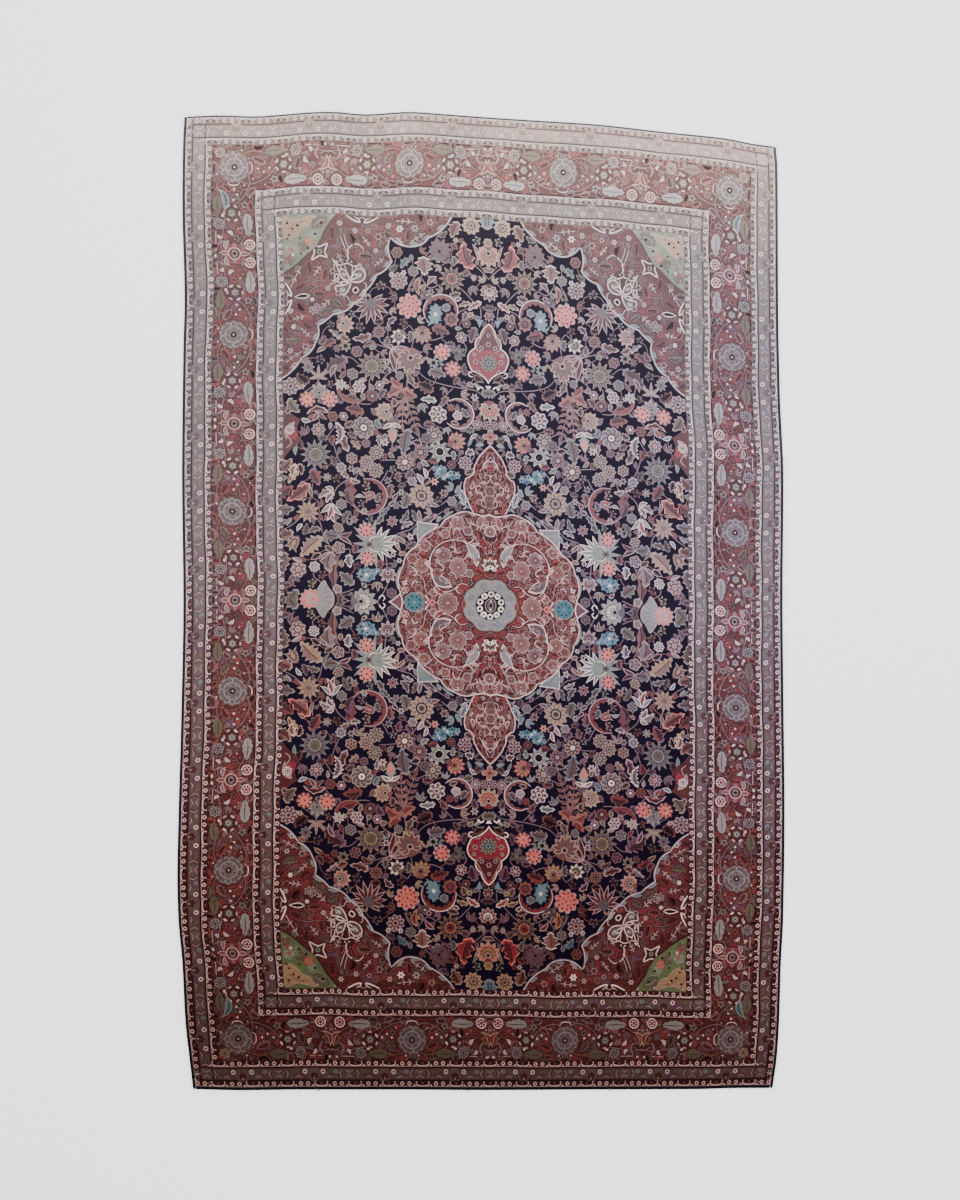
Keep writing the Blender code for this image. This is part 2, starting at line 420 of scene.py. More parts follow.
    def spray(self, x0, y0, x1, y1, size, leaf, stem, tip, count):
        """A stem with small leaves on both sides and one at its end."""
        self.line(stem, [(x0, y0), ((x0 + x1) / 2, (y0 + y1) / 2), (x1, y1)], 0.9, 0.8)
        along = atan2(y1 - y0, x1 - x0)
        for i in range(count):
            f = (i + 0.6) / (count + 0.4)
            bx, by = x0 + (x1 - x0) * f, y0 + (y1 - y0) * f
            for side in (1, -1):
                a = along + side * 0.85
                reach = size * (1.05 - 0.3 * f)
                self.leaf(bx, by, *around(bx, by, reach, a), size * 0.36, leaf, tip, 0.1 * side)
        self.leaf(x1 - size * 0.3 * cos(along), y1 - size * 0.3 * sin(along),
                  x1 + size * 0.8 * cos(along), y1 + size * 0.8 * sin(along), size * 0.4, leaf, tip)

    def crescent(self, x, y, r, opening, outer, inner, teeth, gap):
        """A curled leaf, open towards one side, with teeth along its inner edge."""
        a = np.radians(np.linspace(opening + gap, opening + 360 - gap, 2 * teeth + 1))
        t = np.linspace(0, 1, len(a))
        thick = r * 0.27 * np.sin(pi * t) ** 0.6 + 0.3
        out = np.stack([x + r * np.cos(a), y + r * np.sin(a)], 1)
        ragged = thick * np.where(np.arange(len(a)) % 2, 1.15, 0.7)
        inside = np.stack([x + (r - ragged) * np.cos(a), y + (r - ragged) * np.sin(a)], 1)
        self.fill(inner, np.concatenate([out, inside[::-1]]))
        self.line(outer, out[::2], 1.05, 0.5)

    def fan(self, x, y, r, turn, spread, blades, fill, edge, width):
        """Blades that spread from one point."""
        order = sorted(range(blades), key=lambda i: -abs(i - (blades - 1) / 2))
        for i in order:
            a = radians(turn + spread * (2 * i / max(1, blades - 1) - 1))
            reach = r * (0.78 + 0.22 * cos(a - radians(turn)))
            self.leaf(x, y, *around(x, y, reach, a), r * width, fill, edge)

    def scroll(self, x, y, r, turn, yarn, width):
        """A small curl of line."""
        a = np.linspace(0, 4.4, 9)
        reach = r * (1 - a / 6.0)
        p = np.stack([reach * np.cos(a), reach * np.sin(a)], 1)
        self.line(yarn, turned(p, x, y, turn), width, 0.7)


def room_left(chart, wide, long):
    """How far each square of the paper is from the nearest drawn shape, counted in squares up to 9."""
    taken = np.ones((wide, long), bool)
    columns, rows = np.mgrid[0:wide, 0:long] + 0.5
    for number, (_, p) in enumerate(chart.shapes):
        x0, y0 = np.maximum(np.floor(p.min(0)).astype(int), 0)
        x1, y1 = np.minimum(np.ceil(p.max(0)).astype(int), (wide, long))
        if x1 <= x0 or y1 <= y0:
            continue
        px, py = columns[x0:x1, y0:y1], rows[x0:x1, y0:y1]
        inside = np.zeros(px.shape, bool)
        for (ax, ay), (bx, by) in zip(p, np.roll(p, -1, 0)):
            if ay != by:
                inside ^= ((ay > py) != (by > py)) & (px < (bx - ax) * (py - ay) / (by - ay) + ax)
        taken[x0:x1, y0:y1][inside] = number >= chart.grounds
    room = np.zeros((wide, long))
    for step in range(9):
        room[~taken] += 1
        grown = taken.copy()
        grown[1:] |= taken[:-1]
        grown[:-1] |= taken[1:]
        grown[:, 1:] |= taken[:, :-1]
        grown[:, :-1] |= taken[:, 1:]
        if step % 2:
            grown[1:, 1:] |= taken[:-1, :-1]
            grown[:-1, :-1] |= taken[1:, 1:]
            grown[1:, :-1] |= taken[:-1, 1:]
            grown[:-1, 1:] |= taken[1:, :-1]
        taken = grown
    return room


def fill_gaps(chart, wide, long, pairs, stem, smallest, largest, seed, most, dark, apart=0.9):
    """Grows sprigs into the free ground, largest gaps first, each on a stem from its nearest neighbour.

    The ground is wide by long squares, and each sprig takes one of the pairs of yarns. Gaps from smallest to
    largest squares in radius are filled, most of them at most, and sprigs stand apart by so many squares.
    """
    room = room_left(chart, wide, long)
    columns, rows = np.mgrid[0:wide, 0:long] + 0.5
    spread = np.random.default_rng(seed)
    jitter = spread.uniform(0, 0.9, room.shape)
    roots = []
    for _ in range(most):
        cx, cy = np.unravel_index(np.argmax(room + jitter * (room > 0)), room.shape)
        gap = room[cx, cy]
        if gap < smallest:
            break
        x, y = cx + spread.uniform(0.3, 0.7), cy + spread.uniform(0.3, 0.7)
        r = min(gap * 0.95, largest)
        ways = np.arange(0, 180, 22.5) + spread.uniform(0, 20)
        free = []
        for way in ways:
            c, s = cos(radians(way)), sin(radians(way))
            ends = [(int(x + k * 1.5 * r * c), int(y + k * 1.5 * r * s)) for k in (-1, 1)]
            free.append(sum(room[min(max(a, 0), wide - 1), min(max(b, 0), long - 1)] for a, b in ends))
        way = ways[int(np.argmax(free))] + (180 if spread.random() < 0.5 else 0)
        long_way = min(1.0 + max(free) / (2.6 * r), 1.75)
        fill, edge = pairs[spread.integers(len(pairs))]
        grow_sprig(chart, x, y, r, way, long_way, fill, edge, dark, spread)
        if roots:
            near = min(roots, key=lambda q: hypot(q[0] - x, q[1] - y) + spread.uniform(0, 4))
            if 3 < hypot(near[0] - x, near[1] - y) < 18:
                bend = spread.uniform(-0.25, 0.25)
                middle = ((x + near[0]) / 2 - (near[1] - y) * bend, (y + near[1]) / 2 + (near[0] - x) * bend)
                before = len(chart.shapes)
                chart.line(stem, [(x, y), middle, near], 0.9, 0.8, step=5)
                chart.shapes.insert(chart.grounds, chart.shapes.pop(before))
        roots.append((x, y))
        c, s = cos(radians(way)), sin(radians(way))
        x0, x1 = max(0, int(x - 22)), int(x + 22)
        y0, y1 = max(0, int(y - 22)), int(y + 22)
        dx, dy = columns[x0:x1, y0:y1] - x, rows[x0:x1, y0:y1] - y
        away = np.hypot((dx * c + dy * s) / long_way, -dx * s + dy * c) - r
        room[x0:x1, y0:y1] = np.minimum(room[x0:x1, y0:y1], np.maximum(away - apart, 0))


def grow_sprig(chart, x, y, r, way, long_way, fill, edge, dark, spread):
    """A small blossom, bud, leaf or pair of leaves that fills a gap of radius r, longer along way."""
    c, s = cos(radians(way)), sin(radians(way))
    reach = r * long_way
    kind = spread.integers(6)
    if r > 4.2 and long_way < 1.45:
        if kind == 0:
            chart.rosette(x, y, r, fill, "brick", edge, 6, way)
        elif kind == 1:
            chart.palmette(x, y, r * 0.86, way, fill, edge, edge, 5, dark)
        elif kind == 2:
            chart.daisy(x, y, r, int(spread.integers(7, 10)), fill, edge, "brick", way)
        else:
            for lean in (-58, 58, 0):
                tip = around(x, y, r, radians(way + lean))
                bend = 0.08 if lean > 0 else -0.08
                chart.leaf(x - r * 0.7 * c, y - r * 0.7 * s, *tip, r * 0.62, fill, edge, bend)
        return
    if long_way > 1.3 or r < 2.8:
        chart.leaf(x - reach * c, y - reach * s, x + reach * c, y + reach * s, r * 1.75, fill, edge,
                   spread.uniform(-0.14, 0.14), 4 if r > 3.4 else 0, dark if r > 3.2 else None)
    elif kind < 2:
        chart.bud(x, y, r * 1.7, way, fill, edge)
    elif kind == 2:
        chart.wheel(edge, x, y, r * 1.1, 5, 0.45, way, True)
        chart.wheel(fill, x, y, r * 0.78, 5, 0.4, way, True)
        chart.disc(dark, x, y, r * 0.26, 4)
    else:
        for side in (-1, 1):
            chart.leaf(x - r * c, y - r * s, x + r * c - side * r * 0.75 * s, y + r * s + side * r * 0.75 * c,
                       r * 0.8, fill, edge, side * 0.16, 0, None)


def curls(chart, spots, yarns):
    """Thin curled lines of pale yarn laid over the other motifs."""
    for i, (x, y, turn) in enumerate(spots):
        reach = 9.0 * (0.8 + 0.2 * (i % 3))
        side = -1 if i % 2 else 1
        curl = [(reach * a, side * reach * b) for a, b in path("0 0 .45 .06 .8 .3 .78 .62 .52 .7")]
        chart.line(yarns[i % len(yarns)], turned(curl, x, y, turn), 0.95, 0.5)


def strip(s0, s1, d0, d1):
    """A straight strip from s0 to s1 along and from d0 to d1 across."""
    return [(s0, d0), (s1, d0), (s1, d1), (s0, d1)]


def along_side(depth):
    """Turns (place, depth) on a border's long side into the paper's x and y."""
    return lambda p: np.stack([FIELD_X + depth + p[:, 1], p[:, 0]], 1)


def along_end(depth):
    """Turns (place, depth) on a border's short side into the paper's x and y."""
    return lambda p: np.stack([p[:, 0], FIELD_Y + depth + p[:, 1]], 1)


def ring_quarter(inner, outer):
    """A quarter of a frame around the field, from one depth to another."""
    return [(FIELD_X + inner, 0), (FIELD_X + outer, 0), (FIELD_X + outer, FIELD_Y + outer),
            (0, FIELD_Y + outer), (0, FIELD_Y + inner), (FIELD_X + inner, FIELD_Y + inner)]


def even_places(length, pitch):
    """Places a pitch apart, adjusted so that the last one is at the corner."""
    count = max(1, int(round(length / pitch)))
    return [length * i / count for i in range(count + 1)]


# ---------------------------------------------------------------- guard borders
def dotted_stripe(chart, corner):
    """Cups and pairs of rings in turn on dark red, standing on one pale line at the outer side."""
    foot = DOTS - 1.0
    chart.fill("blush", strip(-1, corner, foot - 0.3, foot + 0.5))
    for i, s in enumerate(even_places(corner - DOTS, 17.0)):
        if i % 2:
            for side in (-3.6, 3.6):
                chart.heap(s + side, foot - 2.6, "disc shell 2.2 7, disc brick 1.2 5")
            continue
        chart.disc("shell", s, foot - 2.2, 2.5, 10, 2.9)
        chart.disc("wine", s, foot - 3.1, 2.3, 10, 2.75)
        for side in (-1, 1):
            chart.disc("ink", s + side * 3.0, foot - 2.6, 1.1, 5)
            chart.fill("shell", [(s + side * a, foot - b) for a, b in path("7 0 8.4 2.2 9.8 0")])
            chart.disc("shell", s + side * 6.2, foot - 4.2, 0.8, 5)
        chart.disc("rust", s, foot - 2.8, 1.4, 6)


def guard_band(chart, corner):
    """Pairs of small flowers with a palmette between, and crossed leaves half way to the next."""
    middle = BAND / 2
    for edge in (0.5, BAND - 0.5):
        chart.fill("ink", strip(-1, corner, edge - 0.5, edge + 0.5))
    for i, s in enumerate(even_places(corner - BAND / 2, 34.0)):
        if i % 2:
            chart.wheel("taupe", s, middle + 1, 7, 6, 0.2)
            for side in (-1, 1):
                chart.disc("plum" if side > 0 else "taupe", s + side * 12, middle + 1.4, 3.4, 7, 1.2)
                chart.heap(s + side * 9, middle - 2.0, "disc shell 2.5 7, disc wine 1.2 5")
                spring = [(s + side * a, BAND - b) for a, b in path("13 2.6 16 4.4 19 3")]
                chart.line("blush", spring, 1.0, 0.5)
                chart.leaf(s + side * 15, 3.4, s + side * 20, middle - 1.0, 2.6, "taupe", "taupe", 0, 0, None)
            chart.palmette(s, middle + 1.4, 5.0, -90, "wine", "rust", "rust", 5)
            chart.disc("blush", s, BAND - 1.8, 1.0, 5)
        else:
            chart.disc("taupe", s, middle, 4.6, 7, 1.5)
            for side in (-1, 1):
                crossed = [(s - side * 4, 2.6), (s + side * 1.2, middle), (s - side * 4, BAND - 2.6)]
                chart.line("sand", crossed, 0.9, 0.5)
                beside = [(s + side * 7, 2.6), (s + side * 9.5, middle), (s + side * 7.4, BAND - 2.6)]
                chart.line("blush", beside, 0.8, 0.5)
                chart.disc("slate" if side > 0 else "olive", s + side * 13.5, 4.4, 2.4, 6, 1.3)
                chart.disc("taupe", s + side * 12.5, BAND - 3.4, 1.6, 6, 1.6)
            chart.disc("rust", s, middle, 1.5, 5)


def guard_ring(depth):
    """A quarter of one guard: a band between two dotted stripes."""
    chart = Chart("umber", ring_quarter(depth, depth + GUARD))
    for start in (0, DOTS + BAND):
        chart.fill("wine", ring_quarter(depth + start, depth + start + DOTS))
    for place, half in ((along_side, FIELD_Y), (along_end, FIELD_X)):
        corner = half + depth
        chart.place = place(depth)
        dotted_stripe(chart, corner + DOTS)
        chart.place = place(depth + DOTS)
        guard_band(chart, corner + DOTS + BAND)
        chart.place = place(depth + DOTS + BAND)
        dotted_stripe(chart, corner + GUARD)
    return chart


# ---------------------------------------------------------------- main border
def grey_rosette(chart, s, d):
    """The main border's big grey rosette: a scalloped rim with dark slots, two thin rings and a dark eye."""
    chart.heap(s, d, "wheel umber 15.5 10 .1, wheel ash 13.8 13 .14, wheel taupe 12.8 13 .14")
    for i in range(13):
        chart.petal(s, d, 360 * (i + 0.5) / 13, 9.2, 12.6, 0.9, "umber" if i % 3 else "ash", "taupe")
    chart.heap(s, d, "disc ash 9 14, disc taupe 7.9 12")
    for i in range(6):
        chart.petal(s, d, 60 * i + 30, 2.4, 7.6, 1.5, "ash", "olive")
    chart.heap(s, d, "disc taupe 4.2 8, disc ink 2.9 7, disc blush 1.3 5")


def feather(chart, s, d, half, turn, fill="ash", speck="sand"):
    """A long mottled leaf, ragged at its sides, with rows of pale specks."""
    count = 9
    shape = []
    for side in (1, -1):
        for i in range(count)[::side]:
            t = (i + 0.5) / count
            ragged = 0.7 if i % 2 else -0.2
            shape.append(((2 * t - 1) * half, side * (4.6 * sin(pi * t ** 0.8) + ragged)))
    chart.fill(fill, turned(shape, s, d, turn))
    chart.line("wine", turned([(-half * 0.7, 0), (0, -0.5), (half * 0.75, 0.2)], s, d, turn), 0.8, 0.4)
    for k in range(5):
        for side in (-2.3, 2.3):
            chart.disc(speck, *turned([((k - 2) * half * 0.32, side)], s, d, turn)[0], 0.75, 4)


def comma_flower(chart, s, d, r):
    """A small flower of ivory commas round a grey-green middle."""
    chart.disc("wine", s, d, r * 0.95, 9)
    for i in range(6):
        a = tau * (i + 0.5) / 6
        yarn = "blush" if i % 3 else "shell"
        chart.disc(yarn, *around(s, d, r * 0.86, a), 1.15, 6, 2.0, degrees(a) + 90)
    chart.wheel("olive", s, d, r * 0.52, 6, 0.3)
    chart.disc("ash", s, d, r * 0.34, 6)
    chart.disc("ink", s, d, 1.0, 4)


def ring_flower(chart, s, d, r):
    """A pale ring crossed by dark lines, with pale petals between them."""
    chart.disc("shell", s, d, r, 12)
    chart.disc("brick", s, d, r - 1.2, 10)
    for i in range(6):
        a = tau * i / 6
        chart.disc("shell", *around(s, d, r * 0.42, a), 0.75, 5, 1.4, degrees(a))


def main_palmette(chart, s, d, tulip_like):
    """The almond-eyed palmette of the long sides, or the horned one of the ends."""
    if tulip_like:
        chart.palmette(s, d - 1, 10.5, -90, "olive", "scarlet", "rust", 7)
        for side in (-1, 1):
            chart.leaf(s + side * 2, d + 9, s + side * 10, d - 6, 5.5, "brick", "sand", side * -0.3, 0, None)
        chart.line("mallow", [(s - 8, d + 9), (s - 3, d + 12), (s + 3, d + 12), (s + 8, d + 9)], 1.0)
        chart.bud(s, d - 10, 6, -90, "brick", "mallow")
        return
    chart.wheel("brick", s, d, 11.5, 9, 0.2)
    for side in (-1, 1):
        chart.leaf(s, d + side * 5, s, d + side * 15, 5.0, "rust", "blush", 0, 0, None)
        chart.leaf(s + side * 3, d + 8, s + side * 13, d + 5, 4.6, "mallow", "blush", side * 0.2, 0, None)
        chart.leaf(s + side * 3, d - 8, s + side * 12, d - 6, 4.2, "taupe", "mallow", side * -0.2, 0, None)
        chart.disc("mallow", s + side * 8, d, 2.2, 6)
    chart.heap(s, d, "disc blush 6.6 12, disc wine 5.3 10, disc mallow 3.2 8 1.3, disc ink 1.4 6 1.3 90")


def half_ground(chart, s0, s1):
    """Patches of other reds in the ground of half a repeat."""
    for share, depth, r, yarn in table("""
            .22 15 9 brick, .8 24 9 brick, .62 20 8 umber, .38 26 9 plum, .9 36 7 umber, .12 37 8 brick,
            .5 8 8 brick, .08 6 7 umber, .68 36 8 plum"""):
        chart.wheel(yarn, s0 + (s1 - s0) * share, depth, r, 6, 0.2, 17 * depth)


def half_repeat(chart, s0, s1, tulip_like, last):
    """The motifs from a grey rosette at s0 to a palmette at s1, in depths from the inner edge."""
    run = s1 - s0
    way = 1 if run > 0 else -1
    turn = 0 if run > 0 else 180
    at = lambda share: s0 + run * share
    low = [(at(share), depth) for share, depth in path(".2 37 .42 31 .55 15 .72 9 .9 16")]
    chart.line("rust", [(s0, 30)] + low + [(s1, 21)], 1.2)
    high = [(at(share), depth) for share, depth in path(".16 6 .36 13 .5 28 .66 30 .86 34")]
    chart.line("mallow", [(s0, 12)] + high + [(s1, 32)], 0.9)
    chart.line("shell", [(s0 - 6, 7.5), (s0 - 4, 4.8), (s0, 4.0), (s0 + 4, 4.8), (s0 + 6, 7.5)], 1.1, 0.5)
    ring_flower(chart, at(0.89), 6.4, 5.4)
    feather(chart, at(0.65), 7.4, 12.5, turn)
    chart.rosette(at(0.42), 9.6, 4.2, "olive", "wine", "ash", 5)
    for k, d in table(".25 20.5, .31 17.2, .37 20.5"):
        chart.disc("shell", at(k), d, 1.2, 6)
    comma_flower(chart, at(0.52), 22.5, 8.6)
    feather(chart, at(0.43), 36.2, 10.5, turn, "olive", "taupe")
    chart.rosette(at(0.65), 35.5, 6.0, "taupe", "wine", "ash", 7)
    chart.leaf(at(0.74), 28, at(0.79), 22, 3.4, "blush", "shell", 0.2, 0, None)
    chart.leaf(at(0.82), 32, at(0.78), 37, 3.2, "blush", "shell", 0.2, 0, None)
    chart.line("mallow", [(at(0.9), 25), (at(0.86), 31), (at(0.9), 38)], 2.4, 0.3)
    chart.line("blush", [(at(0.82) - 7 * way, 38.6), (at(0.82) + 6 * way, 38.6)], 0.9)
    chart.disc("shell", at(0.55), 31.5, 1.3, 5, 1.4)
    chart.disc("shell", at(0.96), 39.4, 1.3, 6, 1.5)
    for k, d, yarn in table("""
            .08 37.5 shell, .15 30 mallow, .2 11 blush, .33 5 blush, .56 13 mallow, .7 17 blush,
            .75 14 mallow, .95 13 blush"""):
        chart.disc(yarn, at(k), d, 1.0, 5)
    grey_rosette(chart, s0, 22.5)
    if last:
        main_palmette(chart, s1, 21, tulip_like)


def main_border():
    """A quarter of the main border: grey rosettes and palmettes in turn on madder red."""
    chart = Chart("madder", ring_quarter(MAIN_FROM, OUTER_FROM))
    for inner, outer, yarn in ((0, 0.9, "ink"), (MAIN - 1.0, MAIN, "ink")):
        chart.fill(yarn, ring_quarter(MAIN_FROM + inner, MAIN_FROM + outer))
    side_corner = FIELD_Y + MAIN_FROM + MAIN / 2
    end_corner = FIELD_X + MAIN_FROM + MAIN / 2
    sides = ((along_side, (0, 90, 178, 268, 350, side_corner), False),
             (along_end, (0, 78, 158, end_corner), True))
    for place, stops, _ in sides:
        chart.place = place(MAIN_FROM)
        for s0, s1 in zip(stops, stops[1:]):
            half_ground(chart, s0, s1)
    chart.start_motifs("wine")
    for place, stops, tulips in sides:
        chart.place = place(MAIN_FROM)
        # stops go palmette, grey rosette, palmette ... and end in the corner's grey rosette
        for i in range(len(stops) - 1):
            palmette_first = i % 2 == 0
            grey, fan = (stops[i + 1], stops[i]) if palmette_first else (stops[i], stops[i + 1])
            half_repeat(chart, grey, fan, tulips, palmette_first)
    chart.place = None
    corner_fill(chart, end_corner, side_corner)
    quiet = table("brick rust, rust mallow, umber taupe, brick rust, olive umber, wine rust, umber mallow")
    wide, long = int(FIELD_X + OUTER_FROM), int(FIELD_Y + OUTER_FROM)
    fill_gaps(chart, wide, long, quiet, "rust", 2.1, 4.5, 3, 460, "wine")
    return chart


def corner_fill(chart, x, y):
    """What fills the outer angle of the main border's corner."""
    chart.leaf(x + 8, y - 42, x + 15, y - 20, 7.5, "slate", "ash", 0.2)
    chart.rosette(x + 14, y + 14, 5.5, "olive", "wine", "sand", 7)
    grey_rosette(chart, x, y)


def lobed(nodes, step=2.2):
    """An outline through nodes of (x, y, bulge): each run to the next node swells to its right by bulge."""
    found = []
    for (x0, y0, bulge), (x1, y1, _) in zip(nodes, nodes[1:]):
        long = hypot(x1 - x0, y1 - y0)
        parts = max(1, int(round(long / step)))
        for i in range(parts):
            t = i / parts
            off = -bulge * 4 * t * (1 - t)
            found.append((x0 + (x1 - x0) * t - (y1 - y0) * off, y0 + (y1 - y0) * t + (x1 - x0) * off))
    return found + [nodes[-1][:2]]


# ---------------------------------------------------------------- medallion
# Half a quarter of the medallion's edge, from its side point to the foot of its pendant.
MEDALLION_EDGE = lobed(table("""
    101 0 -.05, 89 9 .13, 87 36 .13, 74 55 .1, 49 77 .12, 35 89 .13, 16 91 .06, 22 104 .06, 25.5 115 .08,
    24 126 -.1, 16.5 132 .12, 14.5 142 .06, 9 151 .03, 0 160 0
"""))
CORNER_EDGE = lobed(table("""
    34 386 .08, 58 363 .12, 74 353 .14, 96 363 -.1, 95 340 .1, 111 327 .05, 121 312 .1, 134 297 .1,
    155 284 .05, 168 273 .12, 170 256 .12, 184 241 .08, 203 222 0
"""))
HALF_CARTOUCHE = lobed(table("203 141 .05, 185 159 .2, 186 180 .05, 196 187 .12, 203 205 0"))
CARTOUCHE = lobed(table("0 221 -.12, 16 233 .05, 19 238 .24, 13.5 257 .16, 8.5 269 .1, 0 282 0"))


# x, y, turn
MEDALLION_CURLS = table("""
    30 10 20, 34 24 80, 48 8 10, 60 22 120, 52 40 200, 70 26 60, 78 16 100, 88 6 150, 80 36 200, 72 48 140,
    60 46 260, 56 56 60, 40 56 170, 30 50 30, 16 66 300, 26 66 10, 36 68 90, 48 76 200, 38 86 160,
    24 86 250, 14 88 20, 4 90 320, 10 74 100, 64 64 170, 84 24 240, 46 30 330, 26 44 120, 8 58 40,
    12 110 60, 6 120 150, 16 122 250, 4 104 20, 8 136 100, 66 6 60, 58 34 20, 34 60 290, 18 80 180,
    54 72 20, 68 58 330, 90 18 260
""")


def centre_rosette(chart):
    """The grey rosette in the middle: pale loops on a dark ring, round a dark-eyed heart."""
    chart.heap(0, 0, "wheel sage 27.5 8 .1 22.5, wheel ash 26.6 8 .1 22.5")
    for i in range(8):
        chart.heap(*around(0, 0, 20.5, tau * (i + 0.5) / 8), "wheel slate 3.6 6 .3, disc ash 1.5 5")
    chart.heap(0, 0, "wheel slate 16.4 10 .1, disc ink 14.6 16")
    for i in range(10):
        a = tau * (i + 0.5) / 10
        x, y = 11.0 * cos(a), 11.4 * sin(a)
        chart.disc("ivory", x, y, 3.2, 8)
        chart.disc("slate" if i % 2 else "ink", x, y, 1.6, 6)
        chart.disc("ink", x * 1.28, y * 1.28, 0.9, 5)
    chart.heap(0, 0, "disc ash 6 9 1.25 90, disc ink 5 9 1.25 90, disc taupe 3.8 8 1.4 90")
    for side in (-4.2, 4.2):
        chart.disc("shell", 0, side, 1.2, 5)
    chart.disc("ink", 0, 0, 1.5, 4, 1.5, 90)


def medallion_ground(chart):
    """Patches of other reds and browns in the medallion's ground."""
    for x, y, r, yarn in table("""
            31 18 6 scarlet, 24 46 4.5 scarlet, 43 78 5 scarlet, 66 18 5.5 scarlet, 61 60 4 scarlet,
            8 60 4 scarlet, 36 43 9 rust, 76 33 9 rose, 14 78 8 rose, 28 85 7 rust, 60 50 8 rose,
            52 24 8 umber, 84 8 6 brick, 46 70 7 umber, 22 26 6 brick, 90 26 5 rust, 60 6 5 brick,
            24 60 5 wine, 60 30 5 wine, 4 68 4 wine, 70 60 4 wine, 44 84 4 wine, 88 16 4 wine,
            68 46 6 brick, 34 72 6 brick, 6 88 5 umber, 40 30 5 rose"""):
        chart.wheel(yarn, x, y, r, 6, 0.25, 23 * r)


def medallion_flowers(chart):
    """Blossoms, leaves and curls on the medallion's red ground."""
    # x, y, radius, yarn, streak, edge, lobes
    rows = table("""
            42 0 11 clay taupe blush 10, 32 36 9.4 clay mallow blush 9, 46 48 8.4 mallow clay blush 8,
            68 37 8 clay rust blush 8, 78 26 6.2 rust clay mallow 7, 64 57 6.6 clay rust blush 7,
            32 80 7.6 clay mallow blush 8, 7 82 6.6 clay rust blush 7, 55 66 5.4 rust brick mallow 6,
            22 73 5.2 mallow rust blush 6, 77 43 5.6 rust clay blush 6, 53 30 5.2 rust clay mallow 6,
            71 14 5 rust clay mallow 6, 44 69 5.2 clay rust blush 6, 84 12 3.8 clay rust blush 6,
            0 74 6 mallow clay shell 8, 21 31 4.6 mallow clay blush 6, 56 10 4.6 clay rust blush 6""")
    stems = paths("""
            23 19 30 20 38 13 46 11 54 17 59 30 60 40 57 50 50 58 38 63 25 62 17 56, 57 6 63 0,
            57 6 64 12 66 22 72 27 82 24, 12 62 17 69 19 80 17 88, 60 40 68 44 75 50,
            38 63 40 72 34 84 24 88, 50 58 56 64 60 71, 22 30 27 27 36 27 43 29, 26 42 33 45 40 42,
            4 62 7 70 3 78 6 86, 66 22 70 32 66 44, 26 66 30 72 26 80""")
    for i, points in enumerate(stems):
        chart.line("blush" if i else "shell", points, 0.85, 0.6)
    chart.draw("""
        leaf 38 16 59 35 11 taupe shell -.14 0 0, leaf 13 38 25 63 9.5 ash shell .12 0 0,
        leaf 27 27 42 25 4.6 brick mallow .1, leaf 26 45 38 46 4.4 brick blush -.15,
        leaf 12 63 19 85 4 blush mallow -.15""")
    for x, y, r, yarn, streak, edge, lobes in rows:
        chart.blossom(x, y, r, yarn, streak, edge, lobes)
    leaves = table("""
            50 38 56 44, 36 64 30 70, 66 30 60 26, 70 60 76 54, 47 66 52 72, 78 33 84 30, 14 44 8 48,
            18 60 10 62, 46 20 40 24, 28 56 34 52, 60 8 68 4, 82 18 88 20, 38 88 42 83, 24 90 30 88,
            10 92 6 96, 48 52 54 50, 22 52 20 46, 44 40 50 36, 36 28 30 30""")
    for i, (x0, y0, x1, y1) in enumerate(leaves):
        fill, edge = (("mallow", "blush"), ("brick", "mallow"), ("olive", "clay"), ("clay", "shell"))[i % 4]
        chart.leaf(x0, y0, x1, y1, 3.4, fill, edge, 0.1, 0, None)


def medallion_axis(chart):
    """What stands on the medallion's two axes: calyxes, lozenges and the turquoise rosettes."""
    chart.rimmed("shell", "rose", smooth("86 0 90 9 101 0 90 -9", True, 3), 1.3)
    chart.fill("plum", smooth("91 0 93 4 97 0 93 -4", True, 2))
    chart.draw("""
        wheel ash 75 0 10.4 10 .1, wheel turquoise 75 0 9.6 10 .12, dots ink 75 0 5.9 8 .95 22.5,
        disc sky 75 0 1.6 6, strand ivory 1.1 1 64 -7 61 -2 64 0 61 2 64 7, disc coral 57 0 3.6 4 1.2 45,
        disc brick 57 0 1.8 4 1.2 45, strand ivory 1 .6 52 0 55 -5.5 61 -4,
        palmette 0 41 8.5 90 sand olive ivory 7""")
    for side in (-2.6, 2.6):
        chart.disc("ivory", side, 38, 1.3, 5, 1.5, 90)
    chart.draw("palmette 0 56 6.5 90 wine scarlet blush 5, disc wine 0 65 3.4 4 1.4 45")


def quarter_fan(chart):
    """The pale grey-blue fan that closes the medallion's diagonal."""
    outline = table("50 79, 58 70, 64 66, 70 57, 71.5 66, 71.5 80.5, 60 79.5")
    chart.rimmed("shell", "slate", dense(outline, 4), 1.0)
    chart.fill("sage", "62 75 66 70 69 66 69 76")
    for x, y in table("61 73, 66 69, 66 74, 69 62, 54 77"):
        chart.disc("sage", x, y, 1.2, 5)


